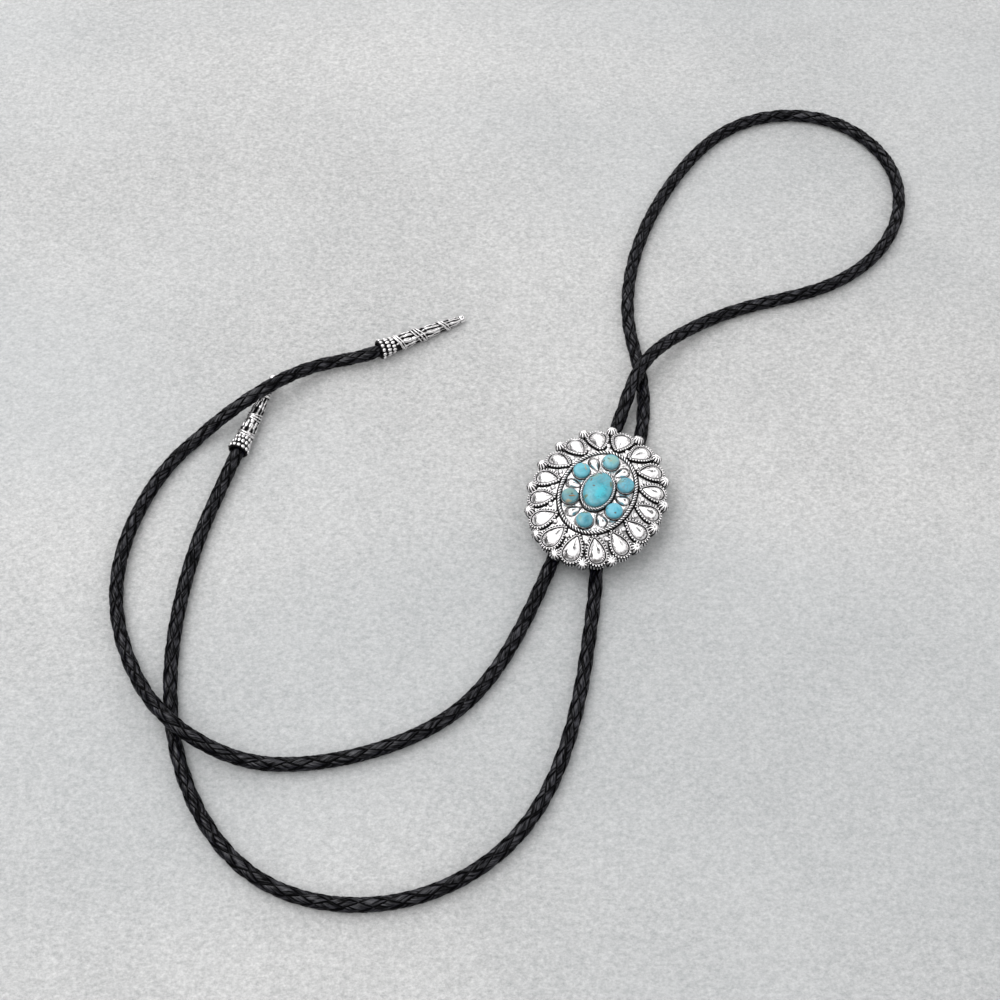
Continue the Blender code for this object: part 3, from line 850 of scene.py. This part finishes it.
# The field and the slope are painted dark along their outlines, as oxide and as the shade round
# raised parts, and the slope a little darker all over
field_points = plate_rings[:FIELD_ROWS].reshape(-1, 3)
plate_shades[:FIELD_ROWS] = nearness(field_points, field_edges(),
                                     OUTLINE_REACH).reshape(FIELD_ROWS, -1)
slope_points = plate_rings[FIELD_ROWS:FIELD_ROWS + SLOPE_ROWS].reshape(-1, 3)
slope_shades = SLOPE_SHADE + nearness(slope_points, slope_edges(), OUTLINE_REACH)
plate_shades[FIELD_ROWS:FIELD_ROWS + SLOPE_ROWS] = slope_shades.reshape(SLOPE_ROWS, -1)
plate = made("face_plate", [skinned(plate_rings, plate_shades)], silver,
             sharp=math.radians(50.0))
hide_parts("concho")

# The petals. Sixteen raised pears stand round the face, points inwards, the ones at its ends
# a little larger: each a polished dome in a thin collar, with a row of small beads round it.
# Six small plain ones lie on the field between the round stones.
PETAL_SIDES = 64
SMALL_PEAR_SIDES = 44
PEAR_CROWN = 0.12
DOME_ROWS = 16
DOME_FULLNESS = 2.3
GRAIN_RADIUS = 0.31 * MM
GRAIN_STEP = 0.86 * MM
GRAIN_LINE = 0.74 * MM
GRAIN_LIFT = 0.38 * MM
BEAD_SIDES = 8

# A petal's ledge and collar, from its foot in to the edge of its dome
PETAL_COLLAR = (
    # distance outside the dome and height over the seat, in mm, darkness painted as oxide and shade
    (1.02, -0.90, 1.0),
    (1.02, 0.06, 1.0),
    (0.96, 0.14, 1.0),
    (0.47, 0.20, 1.0),
    (0.45, 0.40, 0.8),
    (0.40, 0.52, 0.0),
    (0.30, 0.52, 0.0),
    (0.25, 0.34, 1.0),
    (0.00, 0.26, 1.0),
)
PETAL_FOOT = 0.32
PETAL_RISE = 1.30

SMALL_PEAR_COLLAR = (
    # distance outside the dome and height over the field, in mm, darkness painted as oxide and shade
    (0.16, -0.40, 1.0),
    (0.14, -0.02, 1.0),
    (0.02, 0.00, 1.0),
)
SMALL_PEAR_FOOT = 0.02
SMALL_PEAR_RISE = 0.95


def domed_pear(length, width, sides, collar, foot, rise):
    """The rings of a pear-shaped dome and of the collar round it, and their painted oxide and shade.
    """
    rings, shades = [], []
    for outside, lift, shade in collar:
        rings.append(pear_outline(length, width, sides, outside * MM) + (0.0, 0.0, lift * MM))
        shades.append([shade])
    outline = pear_outline(length, width, sides)
    crown = np.array((length * PEAR_CROWN, 0.0, 0.0))
    for share in np.sqrt(np.linspace(1.0, 0.0004, DOME_ROWS)):
        lift = (foot + rise * (1.0 - share ** DOME_FULLNESS)) * MM
        rings.append(crown + (outline - crown) * share + (0.0, 0.0, lift))
        # A thin line at the dome's foot is painted dark, as oxide and as shade
        shades.append([max(0.0, 1.0 - 15.0 * (1.0 - share))])
    return np.array(rings), np.array(shades)


grain_rings, grain_shades = bead_shape(GRAIN_RADIUS, BEAD_SIDES)
petal_skins, grain_skins = [], []
for seat, length, width, middle in petal_seats():
    rings, shades = domed_pear(length, width, PETAL_SIDES, PETAL_COLLAR, PETAL_FOOT, PETAL_RISE)
    petal_skins.append(skinned(set_down(rings + middle, *seat), shades))
    girth = run_of(pear_outline(length, width, 400, GRAIN_LINE))[-1]
    for grain in pear_outline(length, width, round(girth / GRAIN_STEP), GRAIN_LINE):
        bead = grain_rings + grain + middle + (0.0, 0.0, GRAIN_LIFT)
        grain_skins.append(skinned(set_down(bead, *seat), grain_shades))
made("petals", petal_skins, silver)
made("petal_beads", grain_skins, silver)

small_pear = domed_pear(*SMALL_PEAR, SMALL_PEAR_SIDES, SMALL_PEAR_COLLAR, SMALL_PEAR_FOOT,
                        SMALL_PEAR_RISE)
made("small_pears", ring_of(*small_pear, PEAR_OVAL, STONE_COUNT, FIELD_Z), silver)

# The beads of the rim and the dots. Between two petals the edge carries a bead on a post,
# its sides cut into rays like a little sun, and a plain dot lies further in by the rope.
BEAD_OVAL = (19.0 * MM, 23.3 * MM)
BEAD_Z = 8.0 * MM
BEAD_RADIUS = 1.55 * MM
BEAD_RAYS = 10
RAY_STEPS = 8
RAY_DEPTH = 0.15
RAY_DROP = 0.18
RAY_SHARPNESS = 2.2
BEAD_LEAN = math.radians(24.0)
DOT_OVAL = (12.7 * MM, 16.9 * MM)
DOT_Z = 9.15 * MM
DOT_RADIUS = 0.85 * MM
DOT_SIDES = 18
DOT_DARK = 0.55

# A rim bead from its foot to its crown, painted darker low down as shade and in its ray grooves as
# oxide
BEAD_PROFILE = (
    # share of the radius, height from the bead's middle in radii, depth of the rays, darkness
    # painted as oxide and shade
    (1.00, -2.00, 1.0, 0.8),
    (1.02, -0.80, 1.0, 0.6),
    (1.04, -0.25, 1.0, 0.3),
    (1.06, 0.00, 1.0, 0.0),
    (1.03, 0.18, 1.0, 0.0),
    (0.92, 0.36, 1.0, 0.0),
    (0.76, 0.52, 0.8, 0.0),
    (0.58, 0.63, 0.4, 0.0),
    (0.40, 0.70, 0.1, 0.0),
    (0.22, 0.74, 0.0, 0.0),
    (0.06, 0.75, 0.0, 0.0),
)


def rayed_bead():
    count = BEAD_RAYS * RAY_STEPS
    turn = around(count, 0.0)
    valley = (0.5 - 0.5 * np.cos(turn * BEAD_RAYS)) ** RAY_SHARPNESS
    rings, shades = [], []
    for share, lift, depth, shade in BEAD_PROFILE:
        reach = BEAD_RADIUS * share * (1.0 - RAY_DEPTH * depth * valley)
        lifts = BEAD_RADIUS * (lift - RAY_DROP * depth * valley)
        rings.append(np.stack((reach * np.cos(turn), reach * np.sin(turn), lifts), axis=1))
        shades.append(np.clip(shade + 1.8 * depth * valley, 0.0, 1.0))
    return np.array(rings), np.array(shades)


rim_beads = ring_of(*rayed_bead(), BEAD_OVAL, PETAL_COUNT, BEAD_Z, BEAD_LEAN)
made("rim_beads", rim_beads, silver)
dot_shape = bead_shape(DOT_RADIUS, DOT_SIDES, FLAT_BEAD_FOOT, DOT_DARK)
dots = ring_of(*dot_shape, DOT_OVAL, PETAL_COUNT, DOT_Z)
made("dots", dots, silver)

# The ropes. Two wires twisted together lie in an oval round the field, and a finer pair makes
# the notched edge of the setting that holds the centre stone.
ROPE_Z = 10.05 * MM
ROPE_WIRE = 0.54 * MM
ROPE_TURNS = 42
CENTRE_ROPE_Z = 10.85 * MM
CENTRE_ROPE_WIRE = 0.35 * MM
CENTRE_ROPE_TURNS = 21
ROPE_STEPS_PER_TURN = 16
ROPE_SIDES = 10

# A wire is painted dark nearer the rope's middle than the first, as oxide between the wires, and
# lower on its sides than the second, as painted shade, in wires
ROPE_DARK = (0.955, 0.30)
CENTRE_ROPE_DARK = (0.84, 0.10)


def rope(oval, height, wire, turns, dark_from, dark_below):
    """Two wires that touch, twisted round each other along an oval."""
    count = turns * ROPE_STEPS_PER_TURN
    spots, outward = oval_spots(oval, count)
    axis = spots + (0.0, 0.0, height)
    skins = []
    for start in (0.0, math.pi):
        angle = (2.0 * math.pi * np.arange(count) / ROPE_STEPS_PER_TURN + start)[:, None]
        out = outward * np.cos(angle) + np.array((0.0, 0.0, 1.0)) * np.sin(angle)
        rings = swept(axis + out * wire / 2.0, out, wire, wire, around(ROPE_SIDES), loop=True)
        from_axis = np.linalg.norm(rings - axis[:, None], axis=2) / wire
        # Between the wires is painted dark as oxide, and each wire's lower sides dark as painted
        # shade
        between = (dark_from - from_axis) * 12.0
        sides = 4.0 * (dark_below - (rings[:, :, 2] - height) / wire)
        skins.append(skinned(rings, np.clip(np.maximum(between, sides), 0.0, 1.0), loop=True))
    return skins


rope_ring = rope(grown(ROPE_OVAL, -0.15 * MM), ROPE_Z, ROPE_WIRE, ROPE_TURNS, *ROPE_DARK)
made("rope_ring", rope_ring, silver)
centre_rope = rope(CENTRE_ROPE_OVAL, CENTRE_ROPE_Z, CENTRE_ROPE_WIRE, CENTRE_ROPE_TURNS,
                   *CENTRE_ROPE_DARK)
made("centre_rope", centre_rope, silver)

# The settings. Each stone sits close in a thin collar that rises out of the field. The
# collars are painted dark, as oxide and as the shade round each stone, and the centre one
# stands inside its rope.
COLLAR_FOOT_Z = 9.5 * MM
ROUND_COLLAR_Z = 10.45 * MM
CENTRE_COLLAR_Z = 10.75 * MM
CENTRE_COLLAR_WALL = 0.16 * MM
COLLAR_SIDES = 72


def collar_rings(inner, wall, top, middle):
    """A collar's rings: up its outside, over its rounded edge and down its inside."""
    rows = (
        # growth over the inner oval, height, darkness painted as oxide and shade
        (wall, COLLAR_FOOT_Z, 1.0),
        (wall, top - 0.25 * MM, 1.0),
        (wall * 0.8, top - 0.07 * MM, 0.55),
        (wall * 0.45, top, 0.45),
        (wall * 0.1, top - 0.06 * MM, 0.8),
        (0.0, top - 0.20 * MM, 1.0),
        (0.0, COLLAR_FOOT_Z, 1.0),
    )
    rings = []
    for growth, height, _ in rows:
        ring, _ = oval_spots(grown(inner, growth), COLLAR_SIDES)
        rings.append(ring + middle + (0.0, 0.0, height))
    return np.array(rings), np.array(rows)[:, 2:]


stone_spots, _ = oval_spots(STONE_OVAL, STONE_COUNT)
round_inner = grown((ROUND_STONE_RADIUS, ROUND_STONE_RADIUS), STONE_GAP)
collars = [skinned(*collar_rings(round_inner, ROUND_COLLAR_WALL, ROUND_COLLAR_Z, spot), loop=True)
           for spot in stone_spots]
collars.append(skinned(*collar_rings(grown(CENTRE_STONE, STONE_GAP), CENTRE_COLLAR_WALL,
                                     CENTRE_COLLAR_Z, np.zeros(3)), loop=True))
made("stone_collars", collars, silver)

# The stones. Seven flat-backed domed turquoises, blue-green and cloudy, with brown and rust
# veins of the rock that they grew in. Each is cut a little differently.
STONE_FOOT_Z = 10.4 * MM
ROUND_STONE_HEIGHT = 1.7 * MM
CENTRE_STONE_HEIGHT = 2.4 * MM
STONE_SIDES = 64
STONE_ROWS = 12
STONE_EDGE = 0.38
STONE_MIDDLE = 0.02
ROCK_BROWN = (0.110, 0.062, 0.030, 1.0)
ROCK_RUST = (0.340, 0.150, 0.040, 1.0)
ROCK_TAN = (0.380, 0.310, 0.200, 1.0)
ROCK_OLIVE = (0.120, 0.160, 0.085, 1.0)
ROCK_DARK = (0.040, 0.050, 0.045, 1.0)
PALE_GREEN = (0.260, 0.450, 0.400, 1.0)
BRIGHT_BLUE = (0.080, 0.500, 0.600, 1.0)
OLD_GREEN = (0.170, 0.330, 0.300, 1.0)
MARK_Z = 12.0 * MM
MARK_DEPTH = 5.0 * MM
MARK_FRAY = 3.0
FRAY_SCALE = 1900.0
CLOUD_SCALE = 420.0
VEIN_SCALE = 520.0
VEIN_PATCHES = 260.0
VEIN_WIDTH = (0.004, 0.030)
VEIN_DEPTH = 0.03 * MM
STONE_ROUGHNESS = 0.22
STONE_OUT_OF_TRUE = (0.012, 0.010)

# One stone a row: its two blues, the strength of its veins and where they are read
STONES = (
    # node, pale blue, deep blue, veins, seed
    ("centre_stone", (0.126, 0.428, 0.512, 1.0), (0.051, 0.279, 0.353, 1.0), 0.45, 3.0),
    ("round_stone_1", (0.205, 0.465, 0.530, 1.0), (0.093, 0.344, 0.409, 1.0), 0.50, 11.0),
    ("round_stone_2", (0.149, 0.465, 0.577, 1.0), (0.065, 0.298, 0.400, 1.0), 0.60, 17.0),
    ("round_stone_3", (0.167, 0.512, 0.632, 1.0), (0.079, 0.363, 0.484, 1.0), 0.25, 23.0),
    ("round_stone_4", (0.140, 0.419, 0.502, 1.0), (0.060, 0.260, 0.335, 1.0), 0.40, 31.0),
    ("round_stone_5", (0.163, 0.353, 0.400, 1.0), (0.082, 0.242, 0.279, 1.0), 0.70, 37.0),
    ("round_stone_6", (0.149, 0.484, 0.577, 1.0), (0.070, 0.335, 0.428, 1.0), 0.35, 43.0),
)

# Where rock or another tint shows in a stone, as smears with a length and a width
STONE_MARKS = {
    # x and y from the stone's middle, half length, half width in mm, degrees, colour
    "centre_stone": (
        (1.0, -1.3, 3.0, 1.7, 82, BRIGHT_BLUE),
        (-2.2, 4.0, 2.6, 1.1, 50, OLD_GREEN),
        (-2.75, 1.9, 0.75, 0.30, 80, ROCK_BROWN),
        (-2.45, 3.7, 0.95, 0.28, 52, ROCK_BROWN),
        (-1.0, 5.0, 0.85, 0.30, -17, ROCK_BROWN),
        (-1.4, -0.1, 0.48, 0.36, 20, ROCK_BROWN),
        (-2.2, -3.9, 1.10, 0.60, 100, ROCK_OLIVE),
        (3.0, 2.4, 1.20, 0.50, 110, ROCK_OLIVE),
    ),
    "round_stone_1": (
        (0.3, 0.2, 2.0, 1.5, 10, PALE_GREEN),
        (-0.7, 0.1, 0.65, 0.22, -7, ROCK_BROWN),
        (0.0, -0.4, 0.55, 0.20, 42, ROCK_TAN),
        (-1.9, -0.9, 0.45, 0.28, 90, ROCK_BROWN),
    ),
    "round_stone_2": (
        (-1.7, 0.2, 1.3, 0.9, 60, OLD_GREEN),
        (-0.7, 1.2, 0.42, 0.30, 40, ROCK_DARK),
        (-0.9, 0.5, 0.70, 0.16, 80, ROCK_OLIVE),
    ),
    "round_stone_3": (
        (0.7, -1.2, 0.42, 0.25, 20, ROCK_BROWN),
        (-1.9, -0.4, 0.40, 0.24, 80, ROCK_BROWN),
    ),
    "round_stone_4": (
        (-0.6, 2.0, 1.2, 0.7, 30, ROCK_OLIVE),
        (-1.3, -0.4, 1.2, 0.6, 120, OLD_GREEN),
    ),
    "round_stone_5": (
        (-0.6, 0.7, 2.0, 1.3, 20, OLD_GREEN),
        (0.9, -0.35, 1.25, 0.26, 22, ROCK_RUST),
        (0.5, 0.2, 0.45, 0.22, 50, ROCK_DARK),
        (0.3, -0.8, 0.60, 0.18, 0, ROCK_BROWN),
        (0.4, -2.1, 1.10, 0.40, 20, ROCK_TAN),
    ),
    "round_stone_6": (
        (0.75, 0.7, 1.40, 0.24, -53, ROCK_TAN),
        (0.0, 1.8, 0.55, 0.30, 10, ROCK_TAN),
    ),
}


def turquoise_finish(node, middle, pale, deep, veins, seed):
    """Turquoise with clouds of two blues, thin veins, and stains of rock at their places."""
    finish, tree, shader = new_finish("turquoise_" + node)
    stone_place = object_place(tree)
    place = mapped(tree, stone_place, Location=(seed * 0.1, seed * 0.07, 0.0))
    cloud = noise(tree, place, CLOUD_SCALE, 5.0, 0.62, 0.6)
    body = blended(tree, ranged(tree, cloud, 0.34, 0.66), deep, pale)
    ragged = noise(tree, place, FRAY_SCALE, 4.0, 0.65, 0.5)
    frayed = sums(tree, "MULTIPLY", sums(tree, "SUBTRACT", ragged, 0.5), MARK_FRAY)
    for x, y, length, width, degrees, colour in STONE_MARKS[node]:
        smear = mapped(tree, stone_place, "TEXTURE",
                       Location=(middle[0] + x * MM, middle[1] + y * MM, MARK_Z),
                       Rotation=(0.0, 0.0, math.radians(degrees)),
                       Scale=(length * MM, width * MM, MARK_DEPTH))
        away = new_node(tree, "VectorMath")
        away.operation = "LENGTH"
        joined(tree, away.inputs[0], smear)
        far = sums(tree, "ADD", away.outputs["Value"], frayed)
        stain = ranged(tree, far, 0.45, 1.0, 0.90, 0.0, smooth=True)
        body = blended(tree, stain, body, colour)
    thin = sums(tree, "SUBTRACT", noise(tree, place, VEIN_SCALE, 4.0, 0.65, 0.9), 0.5)
    line = ranged(tree, sums(tree, "ABSOLUTE", thin, 0.0), *VEIN_WIDTH, 1.0, 0.0, smooth=True)
    patches = noise(tree, place, VEIN_PATCHES, 2.0, 0.5)
    where = ranged(tree, patches, 0.50, 0.62, 0.0, veins, smooth=True)
    vein = sums(tree, "MULTIPLY", line, where)
    embossed(tree, shader, sums(tree, "SUBTRACT", 1.0, vein), VEIN_DEPTH)
    roughness = sums(tree, "ADD", sums(tree, "MULTIPLY", vein, 0.3), STONE_ROUGHNESS)
    feed(tree, shader, Base_Color=blended(tree, vein, body, ROCK_BROWN), Roughness=roughness,
         Coat_Weight=0.20, Coat_Roughness=0.10)
    return finish


def cut_stone(oval, height, middle, seed):
    """A cabochon's rings: a short upright edge under a smooth dome, its outline not quite
    true."""
    spots, _ = oval_spots(oval, STONE_SIDES)
    turn = around(STONE_SIDES, 0.0)
    long, three = STONE_OUT_OF_TRUE
    wobble = 1.0 + long * np.cos(2.0 * turn + seed) + three * np.cos(3.0 * turn + 2.0 * seed)
    steps = [(0.97, 0.0), (1.0, 0.06)]
    for angle in np.linspace(0.0, 0.5 * math.pi, STONE_ROWS):
        share = max(math.cos(angle) ** 0.8, STONE_MIDDLE)
        steps.append((share, STONE_EDGE + (1.0 - STONE_EDGE) * math.sin(angle) ** 0.9))
    return np.array([spots * share * wobble[:, None] + middle
                     + (0.0, 0.0, STONE_FOOT_Z + height * lift) for share, lift in steps])


for number, (node, pale, deep, veins, seed) in enumerate(STONES):
    if number == 0:
        oval, height, middle = CENTRE_STONE, CENTRE_STONE_HEIGHT, np.zeros(3)
    else:
        oval, height = (ROUND_STONE_RADIUS, ROUND_STONE_RADIUS), ROUND_STONE_HEIGHT
        middle = stone_spots[number - 1]
    rings = cut_stone(oval, height, middle, seed)
    stone = made("turquoise_" + node, [skinned(rings, 0.0)],
                 turquoise_finish(node, middle, pale, deep, veins, seed))
    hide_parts(node)

# The slide's back. One plain plate of satin metal with two tubes that grip the cord. It is
# soldered under the face, out of sight.
NICKEL = (0.60, 0.59, 0.58, 1.0)
NICKEL_DEEP = (0.46, 0.45, 0.44, 1.0)
BRUSHED_SCALE = 5200.0
BRUSHED_STRETCH = 0.06
BRUSHED_DEPTH = 0.02 * MM


def back_finish():
    finish, tree, shader = new_finish("satin_back")
    brushed = mapped(tree, object_place(tree), Scale=(1.0, BRUSHED_STRETCH, 1.0))
    lines = noise(tree, brushed, BRUSHED_SCALE, 3.0, 0.6)
    shade = ranged(tree, lines, 0.3, 0.7)
    feed(tree, shader, Base_Color=blended(tree, shade, NICKEL, NICKEL_DEEP),
         Roughness=ranged(tree, lines, 0.3, 0.7, 0.28, 0.42), Metallic=1.0)
    embossed(tree, shader, lines, BRUSHED_DEPTH)
    return finish


slide_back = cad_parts["slide_back"]
slide_back.data.materials.clear()
slide_back.data.materials.append(back_finish())

# The table. A pale cool grey board with a faint cloudy wash and a fine dry grain, wide enough
# to fill every view.
TABLE_SIZE = 6.0
TABLE_PALE = (0.728, 0.724, 0.720, 1.0)
TABLE_DEEP = (0.282, 0.287, 0.290, 1.0)
TABLE_COOL = (0.400, 0.430, 0.450, 1.0)
TABLE_BAND_SCALE = 6.0
TABLE_BAND_STRETCH = 2.2
TABLE_BAND_SHARE = 0.30
TABLE_CLOUD_SCALE = 9.0
TABLE_GRAIN_SCALE = 950.0
TABLE_GRAIN_TURN = math.radians(22.5)
TABLE_GRAIN_STRETCH = 1.3
TABLE_GRAIN_LEVEL = 0.37 * MM
TABLE_GRAIN_DEPTH = 0.20 * MM


def drawn_out(tree, place, stretch):
    """A place on the table, drawn out along the grain of the board."""
    return mapped(tree, place, "TEXTURE", Location=(0.0, 0.0, TABLE_GRAIN_LEVEL),
                  Rotation=(0.0, 0.0, TABLE_GRAIN_TURN), Scale=(stretch, 1.0, 1.0))


def table_finish():
    finish, tree, shader = new_finish("pale_board")
    place = object_place(tree)
    cloud = noise(tree, place, TABLE_CLOUD_SCALE, 3.0, 0.6)
    band = noise(tree, drawn_out(tree, place, TABLE_BAND_STRETCH), TABLE_BAND_SCALE, 2.0, 0.5)
    grain = noise(tree, drawn_out(tree, place, TABLE_GRAIN_STRETCH), TABLE_GRAIN_SCALE, 5.0, 0.88)
    wash = ranged(tree, cloud, 0.30, 0.70, -0.03, 0.04, smooth=True)
    mottle = sums(tree, "ADD", wash, grain, clamp=True)
    board = blended(tree, ranged(tree, mottle, 0.27, 0.73), TABLE_PALE, TABLE_DEEP)
    cool = ranged(tree, band, 0.40, 0.62, 0.0, TABLE_BAND_SHARE, smooth=True)
    feed(tree, shader, Base_Color=blended(tree, cool, board, TABLE_COOL), Roughness=0.9)
    embossed(tree, shader, grain, TABLE_GRAIN_DEPTH)
    return finish


table_mesh = bpy.data.meshes.new("table")
table_corners = [(x * TABLE_SIZE / 2.0, y * TABLE_SIZE / 2.0, 0.0)
                 for x, y in ((-1, -1), (1, -1), (1, 1), (-1, 1))]
table_mesh.from_pydata(table_corners, [], [(0, 1, 2, 3)])
table_mesh.materials.append(table_finish())
table = placed("table", table_mesh)

# The light. A white studio tent leans over the table from the far side. The room shows dim
# along the horizon, through a hole close to the tent's top and through an opening on the left.
# A broad lamp on the left shapes it. Behind the table stands a plain pale backdrop.
TENT_DIM = (0.085, 0.074, 0.070, 1.0)
TENT_WHITE = (1.33, 1.33, 1.33, 1.0)
TENT_LEAN = 0.14
TENT_AXIS = Vector((-0.383 * TENT_LEAN, 0.924 * TENT_LEAN, 1.0)).normalized()
TENT_FADE = (0.02, 0.40)
TENT_LEFT = Vector((-0.80, 0.33, 0.50)).normalized()
TENT_LEFT_FADE = (-0.4, 0.9)
TENT_LEFT_SHARE = (0.86, 1.16)
TENT_OPENINGS = (
    # way to its middle, degrees to its edge, degrees to its full depth, light left in it
    ((0.168, 0.389, 0.904), 29.0, 13.0, 0.10),
    ((-0.935, -0.279, 0.300), 44.0, 16.0, 0.14),
)
BACKDROP_PALE = (0.62, 0.63, 0.64, 1.0)
LAMP_PLACE = Vector((-0.42, -0.04, 0.72))
LAMP_SIZE = 0.85
LAMP_POWER = 3.0


def lit_towards(way, target, far, near, dim, bright):
    """A brightness that changes with how near a way is to a target way."""
    dot = new_node(sky, "VectorMath")
    dot.operation = "DOT_PRODUCT"
    joined(sky, dot.inputs[0], way)
    joined(sky, dot.inputs[1], target)
    return ranged(sky, dot.outputs["Value"], far, near, dim, bright, smooth=True)


tent = bpy.data.worlds.new("studio_tent")
tent.use_nodes = True
bpy.context.scene.world = tent
sky = tent.node_tree
way = new_node(sky, "TexCoord").outputs["Generated"]
glow = lit_towards(way, TENT_AXIS, *TENT_FADE, 0.0, 1.0)
brightness = lit_towards(way, TENT_LEFT, *TENT_LEFT_FADE, *TENT_LEFT_SHARE)
for middle, edge, core, light in TENT_OPENINGS:
    edges = (math.cos(math.radians(edge)), math.cos(math.radians(core)))
    opening = lit_towards(way, Vector(middle).normalized(), *edges, 1.0, light)
    brightness = sums(sky, "MULTIPLY", brightness, opening)
lit = sky.nodes["Background"]
feed(sky, lit, Color=blended(sky, glow, TENT_DIM, TENT_WHITE), Strength=brightness)
seen = new_node(sky, "Background", Color=BACKDROP_PALE)
both = new_node(sky, "MixShader", Fac=new_node(sky, "LightPath").outputs["Is Camera Ray"])
joined(sky, both.inputs[1], lit.outputs["Background"])
joined(sky, both.inputs[2], seen.outputs["Background"])
feed(sky, sky.nodes["World Output"], Surface=both.outputs["Shader"])

lamp_data = bpy.data.lights.new("lamp", "AREA")
lamp_data.energy = LAMP_POWER
lamp_data.size = LAMP_SIZE
aimed("lamp", lamp_data, LAMP_PLACE, Vector((0.0, 0.0, 0.0)))
